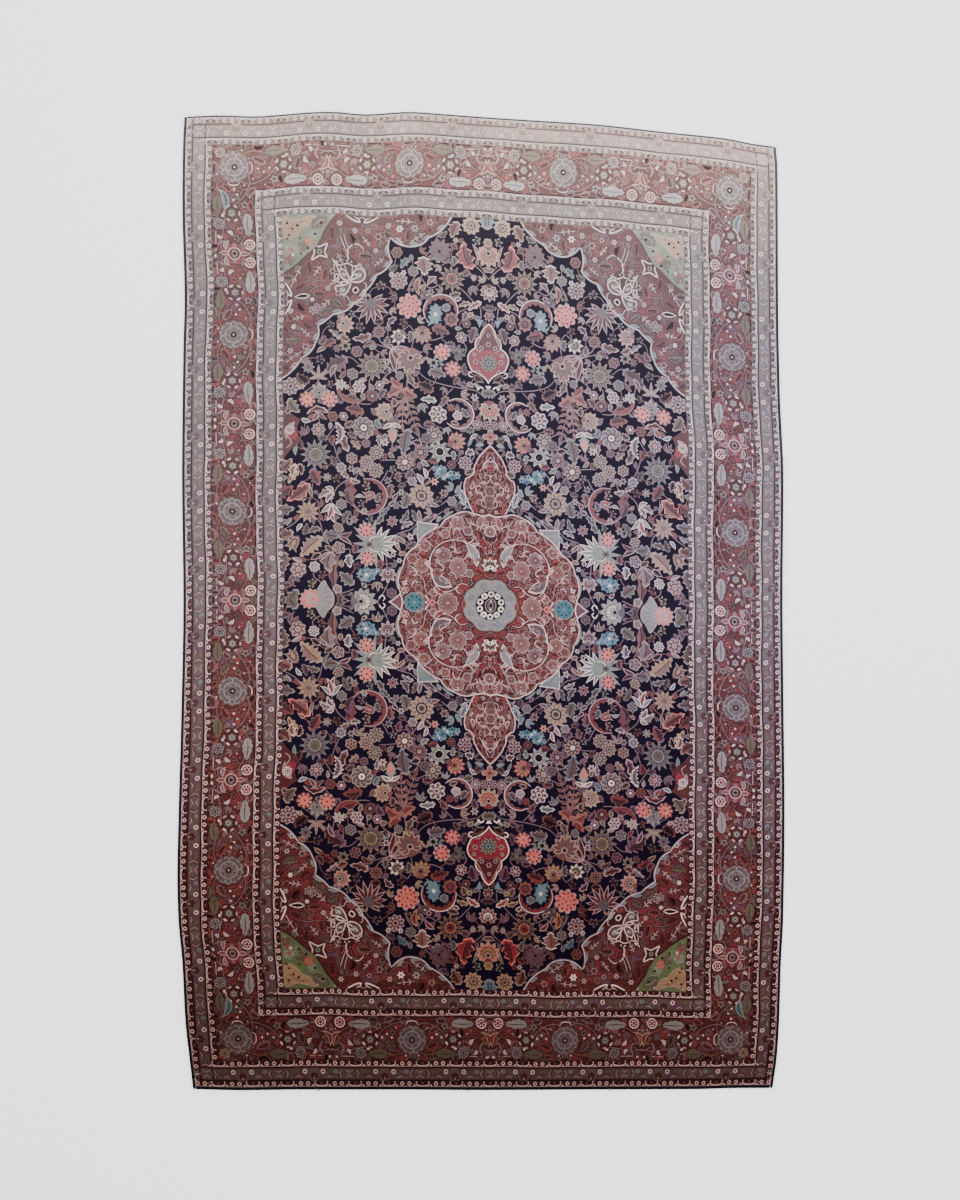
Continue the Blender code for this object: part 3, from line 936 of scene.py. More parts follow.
def pendant_flowers(chart):
    """Small blossoms down the pendant."""
    for points in paths("""
            4 98 5 106 3 112, 10 100 12 110 9 118, 17 108 19 116 16 124, 4 120 6 128 3 134,
            9 124 11 131 8 137, 3 140 4 147 1 152"""):
        chart.line("blush", points, 1.2, 0.3)
    chart.draw("""
        strand blush 1 1 0 96 8 100 6 108 13 114 9 122 5 130 7 138 0 148,
        strand rust 1 .6 13 96 17 104 14 110 18 116 14 124,
        strand rust 1 .6 21 108 22 116 19 122 14 128 12 138""")
    for x, y, r, petal, heart in table("""
            0 101 5.5 taupe wine, 11 106 4.8 brick brick, 0 114 7 sand rose, 12 117 4.4 brick brick,
            0 129 5.6 wine blush, 7 125 3.6 rose wine, 0 142 4 plum sand, 5 134 3.2 wine brick,
            16 99 3.4 scarlet blush, 7 94 3 blush brick, 20 114 3.4 rust wine, 12 132 3.2 rose wine"""):
        chart.rosette(x, y, r, petal, heart, "clay", 7)
    for x0, y0, x1, y1 in table("6 110 12 112, 17 108 21 112, 4 121 10 122, 3 136 8 140"):
        chart.leaf(x0, y0, x1, y1, 3.2, "sand", "blush", 0.1, 0, None)


def medallion():
    """A quarter of the medallion and its pendant."""
    chart = Chart("shell", [(0, 0)] + MEDALLION_EDGE)
    inside = np.array(MEDALLION_EDGE)
    steps = side_steps(inside, False)
    chart.fill("brick", np.concatenate([[(0, -3), (101, -3)], inside + steps * 1.5, [(-3, 157)]]))
    chart.fill("madder", "0 93 15 93 20 104 24 115 22 124 15 131 13 142 8 150 0 157")
    chart.fill("plum", "0 138 8 141 10 147 0 157")
    medallion_ground(chart)
    chart.start_motifs("wine")
    medallion_flowers(chart)
    medallion_axis(chart)
    pendant_flowers(chart)
    centre_rosette(chart)
    chart.line("ivory", "0 91 6 89 16 90.5", 1.2)
    dense_wool = table("""
            rust clay, umber mallow, scarlet rust, rose clay, brick clay, umber rust, brick rust,
            wine mallow""")
    fill_gaps(chart, 101, 158, dense_wool, "clay", 1.6, 4.4, 5, 300, "wine")
    curls(chart, MEDALLION_CURLS, ("shell", "blush"))
    chart.fill("shell", np.concatenate([inside, (inside + steps * 1.15)[::-1]]))
    return chart


# ---------------------------------------------------------------- corner pieces
def knot_palmette(chart, x, y):
    """An openwork palmette of pale bands: loops laid round a crossing, with bars and beads at its foot."""
    chart.wheel("wine", x + 1, y + 5, 19.5, 7, 0.12, 40)
    loops = paths("""
            0 0 2 -8 7 -13.4 13.4 -12 14.6 -5.6 8 -4.6, -1 1 -9 1.2 -14 6 -14 12 -7 14.4 -2 8,
            1 2 6 1.6 10.4 5.6 10 11.4 4.6 10.4, 12 -1.6 15 -.6 15.4 5.4 12.6 6.6,
            -8 -7 -4.6 -10.4 -2.4 -7.4 -5.4 -4.4, 2 -1 6 -3.6 11 -2.6 6 -.4, -1 3 -2.6 7 -7.4 9 -4.6 4.4""")
    for i, loop in enumerate(loops):
        ring = [(x + a, y + b) for a, b in loop]
        chart.fill("umber" if i < 3 else "ink", smooth(ring, True, 3))
        chart.line("shell", ring, 1.25, 1.0, True)
    for dx, dy, r, turn in table("8 -9 2.6 -40, -8 7.6 2.8 -45, 6.4 6.6 2 30"):
        chart.disc("sage", x + dx, y + dy, r, 6, 1.4, turn)
        over = [(x + dx - r, y + dy + r * 0.6), (x + dx, y + dy - r * 0.4), (x + dx + r, y + dy + r * 0.5)]
        chart.line("shell", over, 0.8, 0.6)
    bars = paths("""
            -15 13.4 -9 17.4 -3 16 2 18.4 8 16.4, 12 8.6 13 14 18 22, 8 16 12.6 15.6 18 22, -1.6 9 -2 15,
            4 11.6 6 15.6, 15.4 9 16.4 16, -6.4 14 -5 17""")
    for bar in bars:
        chart.line("shell", [(x + a, y + b) for a, b in bar], 1.2, 0.6)
    scrolls = paths("""
            -3.4 -20 1 -19 3 -15 7 -14.6 6.4 -18, -22 -7 -20 -10 -16 -6 -15.4 0 -13 1,
            -10 -10 -13 -13.4 -16 -12, -6 -13 -8 -16.4 -5 -18""")
    for scroll in scrolls:
        chart.line("blush", [(x + a, y + b) for a, b in scroll], 1.2, 0.6)
    for dx, dy in table("9.6 13, -1 20.4, 3 20.8, -12 -9, -9.4 -12.4, -13.4 -6.6"):
        chart.disc("shell", x + dx, y + dy, 0.9, 5)


def knot_star(chart, x, y):
    """A small square of ivory band with a loop at each corner."""
    chart.fill("wine", [(x - 6, y - 6), (x + 6, y - 6), (x + 6, y + 6), (x - 6, y + 6)])
    ring = [(x + a, y + b) for a, b in path("-7 -6 0 -4 8 -8 5 0 7 7 0 5 -8 8 -5 0")]
    chart.line("shell", ring, 1.4, 1.0, True)
    chart.heap(x, y, "disc sage 2.6 6, disc ink 1.2 5")


def half_arabesque(chart, place, s, half):
    """Two ivory scrolls that meet at a point on the field's edge."""
    chart.place = place
    chart.fill("wine", [(s - half, 0), (s - half * 0.5, -4), (s, -6.5), (s + half * 0.5, -4), (s + half, 0)])
    for side in (-1, 1):
        chart.line("ivory", [(s + side * half, -0.5), (s + side * half * 0.55, -4.5), (s + side * 2, -6.5),
                             (s + side * 3.4, -3.4), (s + side * 6, -2)], 1.6, 0.6)
        chart.line("blush", [(s + side * 8, -0.6), (s + side * 5, -3), (s, -1.2)], 1.0, 0.6)
    chart.place = None


def green_quarter(chart):
    """The green angle in the very corner of the field."""
    edge = table("204 328, 196 332, 188 338, 179 346, 171 352, 165 361, 160 371, 148 387")
    chart.rimmed("wine", "green", dense(edge + [(204, 387)], 5), 0.9)
    for x, y, r, yarn in table("""
            197 341 6 olive, 184 354 6 olive, 168 377 8 olive, 196 352 6 sage, 174 365 5 sage,
            162 380 5 olive"""):
        chart.wheel(yarn, x, y, r, 5, 0.3, 30 * r)
    leaf = smooth("172 385 176 375 184 371 190 364 198 361 203 367 202 384 188 381", True, 3)
    chart.rimmed("sand", "honey", leaf, 1.0)
    for x, y, r in table("188 375 1.6, 193 372 1.3, 184 379 1.2, 197 366 1.3, 198 378 1.5"):
        chart.disc("ink", x, y, r, 5)
    chart.draw("""
        strand clay 1.1 .5 178 380 188 378 198 371, strand clay 1 .5 190 384 197 382 201 374,
        daisy 177 359 6 9 coral scarlet gold, spray 194 356 199 340 5 coral scarlet scarlet 2""")
    for points in paths("""
            163 372 168 370 174 371, 172 374 166 379 160 380, 188 344 189 350 185 354, 194 340 191 350,
            178 353 183 348, 172 381 178 383"""):
        chart.line("sage", points, 1.3, 0.4)
    for x, y, yarn in table("""
            171 366 ink, 164 377 ink, 186 347 wine, 194 346 shell, 199 362 madder, 179 352 ink,
            199 335 sage, 170 383 blush, 153 384 sand, 186 362 wine"""):
        chart.disc(yarn, x, y, 1.5, 5)


def corner_piece():
    """A quarter's corner of the field: scarlet and brown with openwork knots, and its green angle."""
    chart = Chart("slate", CORNER_EDGE + [(FIELD_X, FIELD_Y)])
    line = np.array(CORNER_EDGE)
    steps = side_steps(line, False)
    chart.fill("shell", np.concatenate([line + steps * 0.8, [(206, 222), (206, 390), (34, 390)]]))
    chart.fill("madder", np.concatenate([line + steps * 1.6, [(207, 224), (207, 391), (34, 391)]]))
    for x, y, r in table("""
            160 284 12, 107 342 11, 159 332 10, 139 362 13, 186 300 9, 70 372 8, 178 318 9, 92 372 9"""):
        chart.wheel("umber", x, y, r, 5, 0.2, 10 * r)
    for x, y, r in table("150 300 8, 118 372 9, 190 262 9, 152 348 8, 122 334 7"):
        chart.wheel("plum", x, y, r, 5, 0.2, 14 * r)
    for x, y, r in table("""
            161 311 14, 128 343 10, 176 261 12, 184 284 10, 168 328 10, 109 366 12, 91 364 10, 147 294 6,
            111 330 6, 190 240 8, 62 378 7, 196 318 6"""):
        chart.wheel("brick", x, y, r, 6, 0.12, 15 * r)
    chart.start_motifs("wine")
    for i in range(5, len(line) - 9, 8):
        base, tip = line[i] + steps[i] * 0.6, line[i + 5] + steps[i + 5] * 4.0
        chart.leaf(base[0], base[1], tip[0], tip[1], 4.4, "slate", "ash", 0.05, 0, None)
    knot_palmette(chart, 137.5, 319)
    chart.draw("strand shell 1.3 1 139 341 140 345 139 350, scroll 117 315 5 120 mallow 1.1")
    knot_star(chart, 167.5, 348)
    half_arabesque(chart, along_side(0), 303, 16)
    half_arabesque(chart, along_end(0), 124, 16)
    chart.draw("leaf 178 304 194 304 5.5 wine ivory 0, palmette 173 290 6.5 -120 rose ash blush 7")
    for points in paths("""
            168 314 176 310 180 303, 166 318 176 320 184 318, 174 314 182 311, 188 322 187 329"""):
        chart.line("mallow", points, 0.9, 0.5)
    chart.draw("""
        strand shell 1.2 .5 123 353 129 358 136 355 141 349, strand blush 1.2 .4 141 350 144 358 146 365,
        strand blush 1 .4 138 352 141 360 142 367, leaf 81 352 95 340 6 sage ivory .15,
        rosette 87 372 4.4 ivory wine ivory 6""")
    rows = table("""
            181 253 4.2 rose coral, 193 274 3.4 ivory wine, 72 372 4.6 ash wine, 57 379 4 rust sand,
            108 366 4.6 rose brick, 98 376 3.6 sand wine, 131 371 3.4 blush wine, 150 306 3.6 rose blush,
            191 235 4 sand brick, 118 372 3.2 rust blush, 146 377 3.6 blush brick, 155 328 4 plum blush,
            197 290 3.4 blush wine, 176 300 3 ivory wine, 160 311 3.4 blush brick, 152 337 3 ivory brick,
            196 250 3.6 ash wine, 111 352 3.4 blush brick""")
    for x, y, r, petal, heart in rows:
        chart.rosette(x, y, r, petal, heart, "blush", 6)
    sprays = table("""
            62 368 74 360 4, 90 364 84 356 4, 104 344 112 338 4, 130 340 126 332 4, 158 300 166 292 4.6,
            182 284 192 282 4.6, 176 262 184 270 4, 116 356 122 364 4, 148 322 156 316 4.4,
            166 334 172 326 4, 150 346 146 338 4, 186 334 196 316 4, 74 378 88 380 4, 186 248 198 240 4""")
    for i, (x0, y0, x1, y1, size) in enumerate(sprays):
        leaf = ("sand", "rose", "olive", "blush")[i % 4]
        chart.spray(x0, y0, x1, y1, size, leaf, "blush", "blush", 2)
    green_quarter(chart)
    red_wool = table("""
            brick rust, olive umber, madder brick, wine brick, umber clay, madder brick, brick rust""")
    fill_gaps(chart, int(FIELD_X), int(FIELD_Y), red_wool, "rust", 2.4, 4.8, 8, 210, "wine", 1.4)
    chart.fill("slate", np.concatenate([line, (line + steps * 0.8)[::-1]]))
    chart.fill("shell", np.concatenate([line + steps * 0.8, (line + steps * 1.6)[::-1]]))
    return chart


def side_cartouche():
    """The half cartouche that stands on the long side of the field."""
    line = np.array(HALF_CARTOUCHE)
    chart = Chart("ash", HALF_CARTOUCHE)
    chart.fill("madder", np.concatenate([line + side_steps(line, False) * 1.4, [(206, 205), (206, 141)]]))
    chart.draw("""
        wheel scarlet 193 166 6 7 .2, leaf 192 178 200 160 7 sand blush .15,
        rosette 197 170 5 blush wine ivory 7, rosette 199 189 3.6 rose sand blush 6,
        strand blush 1 .5 200 152 195 157 199 164""")
    return chart


# ---------------------------------------------------------------- field
FIELD_STEMS = paths("""
    4 207 13 214 31 216 46 218 60 222 69 230, 35 215 42 208 50 197, 83 202 81 217 79 231,
    83 206 90 190 103 178 114 172, 72 80 58 84 46 92, 71 79 78 72 92 66 89 52, 92 66 100 60 108 58,
    103 46 102 34 101 28, 101 18 106 8 112 0, 112 0 106 -6, 138 46 139 52 146 49 150 40,
    165 66 167 77 174 84, 164 62 158 66 150 64, 186 82 192 77 200 72, 154 100 150 112 138 122,
    156 92 155 100 158 104, 176 98 175 106 174 116, 67 118 62 128 56 136, 67 118 73 126 78 134,
    84 140 96 142 108 142, 68 152 70 164 79 172, 79 172 84 160 86 148, 79 172 72 176 62 172,
    112 172 120 178, 136 174 144 172 150 178, 150 178 158 166 162 158, 168 176 169 186,
    156 208 168 218 160 226, 180 208 168 218 176 228, 160 226 140 244 128 238, 116 198 126 198 138 203,
    118 208 118 222 116 224, 100 254 112 258 124 262, 100 254 108 262 108 268, 36 284 28 292 18 296,
    14 300 26 312 34 318, 50 318 60 314 68 324, 68 324 64 332 64 342, 68 324 76 318 82 310,
    79 306 80 314 74 324, 79 276 74 268 76 254, 79 276 88 268 90 262, 60 276 54 282 48 290,
    62 262 54 262 44 266, 27 264 22 256 24 250, 8 287 9 296 12 300, 0 326 8 334 16 340,
    50 366 58 350 62 346, 23 336 18 330 15 322, 36 338 44 344 50 340, 30 110 40 104 48 98,
    20 142 16 148 18 156, 110 116 104 124 100 132, 100 96 108 86 112 78, 173 32 174 22 166 16,
    189 30 194 20 198 12, 135 12 144 8 150 6, 128 0 140 0 146 4, 154 156 150 144 146 136,
    132 122 128 132 122 138, 104 224 96 230 86 234, 116 252 118 262 110 270, 150 216 152 226 156 232,
    166 186 158 190 152 198, 46 250 52 244 56 238, 35 234 30 244 30 250
""")

# From x, y to x, y, width, fill, edge, and then bend and teeth where they are not 0.1 and 0.
FIELD_LEAVES = table("""
    25 98 29 115 6.5 slate shell .05, 72 80 52 89 7 taupe blush .12, 73 80 77 92 6 taupe mallow,
    75 79 87 72 5.5 ash blush .12, 92 66 88 49 5 rust sand, 92 66 98 52 4.6 sand shell,
    92 66 82 60 4.6 rust sand, 88 78 80 92 6 taupe ash .1 3, 112 78 104 90 6 taupe ash .1 3,
    108 86 98 94 6.5 taupe ash -.1 3, 104 90 112 98 5.4 taupe ash .1 3, 100 96 92 102 5.4 taupe blush,
    96 118 98 103 8.5 rust mallow, 60 101 49 97 4.8 taupe blush, 66 118 72 128 5 sand shell,
    62 124 66 134 4.6 sand shell, 90 130 88 119 7 rose mallow, 34 110 30 118 5 sky ash,
    16 152 25 150 7 taupe shell, 22 157 17 168 3.6 slate slate 0, 6 160 15 158 4.6 sage ash,
    37 153 36 143 6 sage ash 0, 78 150 74 134 9 plum taupe .12, 68 142 60 136 6 sage sand,
    80 173 86 145 13 taupe ash .05 5, 110 168 109 156 5.5 ash blush 0, 83 200 92 182 5 wine rust,
    40 206 47 196 6.5 rust mallow, 52 201 68 202 7 sage shell .05, 20 217 30 220 6.5 plum mallow,
    84 214 71 204 10 ember clay .12, 84 213 101 204 10 ember clay .12 3,
    85 214 97 225 9 ember rust -.12, 79 231 70 213 6.5 taupe honey .12, 94 252 101 257 5 rose blush,
    86 252 64 250 5 rust mallow .12, 139 148 149 175 8 rose blush -.05,
    152 178 152 155 7.5 sand shell -.22 6, 157 178 158 170 4 ash blush 0,
    128 152 138 160 7 honey mallow, 158 187 181 185 6 brick blush .2 3, 169 188 160 180 5 rust mallow,
    169 188 176 178 5 rust blush -.1, 127 198 145 203 8 rust mallow .15 4,
    148 222 141 232 4.6 brick clay, 139 244 163 226 14 plum mallow 0 5, 150 236 156 222 5 plum blush,
    160 252 170 246 5 olive sand, 150 260 164 250 8 brick rose, 112 260 124 254 6 rust mallow,
    116 268 135 263 8 rose blush -.08, 146 260 159 270 6 blush taupe, 8 303 21 293 6 coral shell .05,
    18 300 31 296 5.6 gold sand, 70 324 70 306 7 ember honey, 52 318 62 326 5 brick mallow .12,
    52 326 62 316 5 brick blush .12, 64 345 64 326 15 clay shell 0 4, 78 342 88 332 8 slate taupe,
    16 334 24 362 15 scarlet coral -.12 4, 10 345 16 360 4 olive sand, 50 366 40 372 6 plum mallow,
    48 340 56 350 7 plum blush, 46 340 38 350 6 rose mallow, 92 284 101 275 6 plum blush,
    28 305 35 301 5 rust shell, 150 45 151 2 8 rust rose, 156 48 158 26 13 mallow sand .12,
    160 46 167 40 4.4 taupe blush 0, 139 47 138 33 8 ash shell .05, 150 63 136 56 5.4 rose blush -.1,
    150 64 135 70 5.4 rose mallow .12, 164 66 148 64 10 taupe ash, 165 62 187 42 14 honey sand .05 6,
    166 70 180 66 6.5 olive ash .12 3, 164 66 158 54 4 olive ash, 136 90 144 76 7 olive taupe .1 3,
    154 96 152 76 6 green shell, 154 96 160 78 6 coral shell -.1, 154 96 144 84 5 sage shell,
    156 96 166 86 5 sage shell -.1, 154 108 168 101 8 blush sand, 153 107 160 96 6 sand shell,
    153 108 162 112 5 sand shell, 176 116 199 99 11.5 rust coral -.05 4,
    138 122 134 98 10 brick rose .05, 138 122 127 120 6 sand blush, 138 122 148 126 6 sand mallow,
    138 114 131 94 8 plum rose .2 4, 188 128 198 116 7 gold sand, 176 113 173 102 4 olive sand,
    194 82 200 74 5 ash mallow, 184 76 190 68 4.4 sky shell, 196 26 192 12 5 plum mallow .2,
    185 36 196 42 5 blush sand, 191 136 194 122 7 gold shell, 190 154 191 144 4.4 sky ash,
    186 181 176 178 5 sky shell, 180 214 188 211 4.4 sky ash, 176 240 178 226 4.6 plum mallow,
    188 64 196 50 8 rust rose .1 3, 110 212 104 220 4.6 plum mallow, 120 222 130 220 4.6 blush sand,
    30 178 24 172 5 taupe mallow, 9 214 16 221 4 blush sage .2, 100 150 94 144 4.6 taupe sand,
    128 134 134 126 4.6 taupe sand, 12 170 20 164 4.4 ash shell, 70 92 66 80 4.4 taupe blush
""")

# x, y, radius, petal, heart, edge, lobes
FIELD_ROSETTES = table("""
    67 106 13 honey umber sand 11, 90 41 3 slate plum shell 6, 96 47 3.2 plum ivory shell 6,
    78 65 4.6 blush rust sand 5, 45 110 4.6 rose scarlet blush 6, 37 102 5.4 mallow rose ash 6,
    54 121 4.6 coral rust sand 6, 76 120 5 ash plum blush 6, 87 109 4.4 ash sage sand 6,
    25 141 7.4 plum rose blush 8, 69 149 7.6 rust blush mallow 8, 55 167 9 taupe sand sand 9,
    63 163 6 taupe plum taupe 8, 112 132 8 taupe olive sand 9, 121 140 7.6 clay taupe sand 9,
    112 150 7.6 olive slate sand 9, 146 132 5.8 blush slate ash 7, 13 180 5.2 taupe blush blush 7,
    51 188 9.2 taupe clay shell 7, 14 207 4.6 ash plum blush 6, 32 188 5 blush slate shell 5,
    169 170 7.2 taupe coral blush 8, 144 184 4.8 brick ivory blush 6, 115 206 6.6 brick sand rose 8,
    128 215 6.6 mallow rust shell 6, 108 217 4.8 plum ivory blush 6, 184 213 4 blush slate ash 6,
    27 266 6 rose blush blush 7, 37 283 7.8 ember scarlet rose 8, 22 280 4.8 brick ash rose 6,
    62 307 5.4 plum blush taupe 7, 109 270 6.8 rust wine clay 8, 90 320 9.2 taupe brick blush 9,
    85 328 3.2 blush ink shell 6, 97 327 3.2 blush ink shell 6, 15 326 3.6 blush gold sand 6,
    32 363 3.4 blush ink sand 6, 149 52 6.6 taupe plum blush 5, 173 32 5.8 ash slate shell 7,
    189 30 8.6 clay sand blush 7, 151 11 5 blush rust sand 5, 84 139 9 rust ivory sand 9,
    123 91 4.4 sand rust ash 6, 18 289 4 gold rust sand 6, 60 98 3.6 mallow brick ash 5,
    136 132 4 taupe sand blush 6, 196 56 4 rose gold blush 6, 140 214 3.4 blush sage sand 6,
    100 240 4 mallow plum shell 6, 72 216 3.6 rose ivory blush 5, 58 310 3.6 rose ivory blush 6,
    106 298 3.8 brick sand rose 6
""")

# x, y, radius, points, petal, edge, heart
FIELD_STARS = table("""
    171 145 15.5 13 taupe ash olive, 115 236 15.5 12 taupe honey olive, 178 88 12 11 honey sand clay,
    37 324 13.5 12 umber honey brick, 178 232 6.6 8 taupe ash plum, 146 216 6.2 7 sage shell sand,
    141 255 6.2 7 olive sand ink, 148 286 5 6 mallow blush rose, 50 151 11 9 sage shell ink,
    92 96 4.4 6 taupe ash plum, 133 82 4.6 6 taupe sand rust, 54 239 6 7 sage ash ink,
    160 122 5 7 taupe sand sage, 104 160 4.4 6 sand shell rust
""")

# x, y, radius, yarn, edge, rings
FIELD_DOTTED = table("""
    121 44 8.2 coral sand 1, 121 72 8.2 coral sand 1, 35 234 8.4 coral rose 1, 46 250 8.4 coral blush 1,
    157 201 8.4 coral sand 1, 179 200 8.6 coral rose 1, 79 295 12.4 coral blush 2
""")

# x, y, radius, turn, fill, heart, edge, core
FIELD_PALMETTES = table("""
    0 193 11.5 -90 gold coral sand brick, 0 288.5 5.6 -90 rose brick blush wine,
    0 312 9.5 -90 brick ivory blush wine, 0 348 12.5 -90 coral gold sand brick,
    124 0 14 180 sand ivory ash taupe, 101 26 8.6 -90 sand rust blush taupe,
    66 266 10 -90 gold sand rust rust, 90 264 8.4 -45 ivory taupe sand olive,
    142 276 9.4 -160 coral ash sand rust, 47 354 11.5 110 plum rose rose taupe,
    104 190 10 -15 gold sand sand rust, 68 149 7 -60 rose sand blush plum,
    78 240 14 -70 rust taupe sand rust, 32 163 9.6 160 coral gold rust brick,
    167 209 9 90 sand ash ash taupe, 30 251 8.5 150 olive ash taupe ink
""")


def blue_cluster(chart, x, y, wide, high):
    """A low blue flower of many small ragged heads."""
    r = high * 0.32
    for i in range(8):
        a = tau * i / 8 + 0.3
        cx, cy = x + (wide / 2 - r) * cos(a), y + (high / 2 - r * 0.8) * sin(a)
        chart.line("slate", [(x, y), ((x + cx) / 2, (y + cy) / 2), (cx, cy)], 1.0, 0.6)
        chart.wheel(("sky", "turquoise", "sky", "slate")[i % 4], cx, cy, r * 1.05, 5, 0.45, 40 * i, True)
        chart.disc("shell" if i % 3 == 0 else "navy", cx, cy, r * 0.3, 4)
    chart.wheel("sky", x, y, r, 6, 0.4, 10, True)
    chart.disc("ivory", x, y, r * 0.35, 5)


def green_chrysanthemum(chart):
    """The spiky grey-green flower between the two coral blossoms."""
    chart.draw("""
        fan 112 58 22 180 70 7 sage ivory .22, fan 114 58 21 0 80 7 sage ash .22,
        fan 116 60 24 70 30 3 sage ash .2, fan 116 56 24 -70 30 3 sage ash .2,
        wheel sage 115 58 11 10 .2, crescent 112 58 7.5 180 ivory olive 5 70, disc taupe 119 58 3.4 8,
        disc ink 119 58 1.3 5""")


def side_flower(chart):
    """The big coral blossom with a serrated leaf behind it, on the field's cross axis."""
    body = table("164 -19, 171 -10, 174 0, 171 10, 164 19, 160 12, 155 6, 154 0, 155 -6, 160 -12")
    chart.rimmed("sand", "ash", smooth(body, True, 3), 1.2)
    for k in (-12, -7, -2, 3, 8, 13):
        chart.line("taupe", [(158, k), (165, k - 2)], 0.9, 0.5)
    chart.heap(178, 0, "wheel sand 11 12 .22 0 1, wheel coral 9 11 .12")
    chart.draw("wheel blush 177 0 6 9 .12, disc coral 176 0 2.6 6")


def cartouche(chart):
    """The scarlet cartouche on the long axis, with its green rosette."""
    line = np.array(CARTOUCHE)
    chart.fill("ivory", np.concatenate([line, [(-2, 281), (-2, 221)]]))
    steps = side_steps(line, False)
    chart.fill("scarlet", np.concatenate([line + steps * 1.15, [(-4, 279.5), (-4, 222.5)]]))
    chart.fill("madder", smooth("0 256 9 254 11 259 0 277 -8 262", True, 3))
    chart.draw("strand sand .9 .6 3 275 9 264 12 256 7 253, rosette 0 242 8.8 olive turquoise sage 10")
    for x, y, r in table("13 243 3.2, 7 257 3, 10 233 2.6, 0 261 3.4, 0 270 2.4, 14 250 2.4"):
        chart.rosette(x, y, r, "rose", "wine", "blush", 6)
    chart.draw("""
        scroll 17 231 3.6 -120 ivory 1.2, patch ivory -3 219 0 214 3 219,
        strand ivory 1.6 1 5 216 8 218 11 215, strand sage 1 .4 4 222 9 223 14 221""")


def swirl_rosette(chart, x, y, r):
    """A round flower whose petals turn like a wheel."""
    chart.wheel("sand", x, y, r, 10, 0.16)
    chart.wheel("taupe", x, y, r - 1.2, 10, 0.16)
    for i in range(9):
        a = tau * i / 9
        p = [around(x, y, k * r, a + k * 1.1) for k in (0.4, 0.65, 0.92)]
        chart.line("sand", p, 1.2, 0.5)
    chart.disc("ink", x, y, r * 0.4, 8)
    chart.disc("ivory", x, y, r * 0.3, 7)
    chart.disc("olive", x, y, r * 0.14, 5)


def field_crescents(chart):
    """The curled saz leaves and what grows inside them."""
    chart.draw("""
        crescent 31 190 15 5 shell rust 9 46, crescent 48 291 17 -90 shell brick 9 62,
        crescent 134 214 16 118 clay brick 7 105, crescent 119 106 18 20 blush brick 9 52,
        tulip 118 107 10 -20 scarlet sand sage, leaf 124 106 133 104 4 sage blush .1,
        bud 32 196 7 90 rose plum""")
    blue_cluster(chart, 53, 288, 15, 20)
    chart.spray(60, 276, 56, 286, 6, "ash", "sage", "sky", 2)


def field_fans(chart):
    """Spiky leaves that spread from one stem."""
    chart.draw("""
        fan 117 299 22 -100 118 11 rust blush .24, fan 117 299 13 -100 90 5 brick rose .3,
        wheel taupe 117 299 5.6 8 .1, fan 96 254 28 -135 34 4 rust blush .26,
        fan 96 179 13 -90 60 3 sand ivory .34, bud 96 167 14 -90 coral sand,
        fan 168 222 13 90 100 5 clay sand .24, fan 92 66 14 -95 40 3 rust sand .28,
        spray 84 206 72 172 9.5 brick mallow clay 5, spray 85 206 86 176 8.5 ember mallow clay 4""")


def field():
    """A quarter of the field: navy, with a garden of blossoms, palmettes and leaves on winding stems."""
    outline = [(101, 0), (FIELD_X, 0), (FIELD_X, 141)] + HALF_CARTOUCHE + CORNER_EDGE[::-1] + [(0, FIELD_Y)]
    chart = Chart("navy", outline + [(0, 160)] + MEDALLION_EDGE[::-1])
    chart.start_motifs(None)
    for points in FIELD_STEMS:
        chart.line("mallow", points, 1.1, 0.7)
    for x0, y0, x1, y1, width, fill, edge, *form in FIELD_LEAVES:
        bend, teeth = form + [0.1, 0][len(form):]
        chart.leaf(x0, y0, x1, y1, width, fill, edge, bend, teeth or (3 if width > 5.4 else 0))
    field_fans(chart)
    field_crescents(chart)
    green_chrysanthemum(chart)
    side_flower(chart)
    for x, y, r, turn, fill, heart, edge, core in FIELD_PALMETTES:
        chart.palmette(x, y, r, turn, fill, heart, edge, 9 if r > 9 else 7, core)
    for x, y, r, petal, heart, edge, lobes in FIELD_ROSETTES:
        chart.rosette(x, y, r, petal, heart, edge, lobes)
    for x, y, r, points, petal, edge, heart in FIELD_STARS:
        chart.daisy(x, y, r, points, petal, edge, heart)
    for x, y, r, yarn, edge, rings in FIELD_DOTTED:
        chart.dotted(x, y, r, yarn, edge, rings)
    swirl_rosette(chart, 124.5, 174, 11.5)
    blue_cluster(chart, 122, 27, 21, 15)
    blue_cluster(chart, 112, 31, 9, 6)
    blue_cluster(chart, 42, 128, 28, 11)
    blue_cluster(chart, 50, 134, 16, 8)
    chart.draw("""
        patch sky 5.5 285 9 277 12.5 285, tulip 193 57 12 -60 rose sand gold, wheel sand 0 168 8.2 4 .5 0,
        wheel ember 0 168 6.4 4 .5 0, disc wine 0 168 1.6 5""")
    cartouche(chart)
    chart.draw("""
        rosette 16 378 9.6 gold rust sand 10, rosette 0 362 5 sand rust gold 7,
        rosette 195 214 9.6 taupe plum blush 9""")
    for side in (-3.4, 3.4):
        chart.line("ivory", [(110, side), (107, side * 2), (104, side), (106, side * 0.3)], 1.2, 0.6)
    chart.line("ash", "28 122 29 113 26 103 20 95", 1.8, 0.4)
    for x, y in table("29 118, 28.5 110, 26 103, 22 97"):
        chart.leaf(x, y, x + 4, y - 3.5, 2.4, "sage", "ash", 0.1, 0, None)
    quarter_fan(chart)
    chart.draw("strand sage 2.2 .4 91 13 92.5 24 89 35, strand sage 2.2 .4 47 84 42 88.5 36 92")
    garden_wool = table("""
            taupe ash, rose mallow, olive sand, umber sand, wine rust, brick mallow, olive ash, plum mallow,
            umber taupe, wine blush, rust sand, slate ash, brick rust, plum taupe""")
    fill_gaps(chart, int(FIELD_X), int(FIELD_Y), garden_wool, "rust", 2.3, 6.2, 2, 470, "ink", 2.3)
    return chart


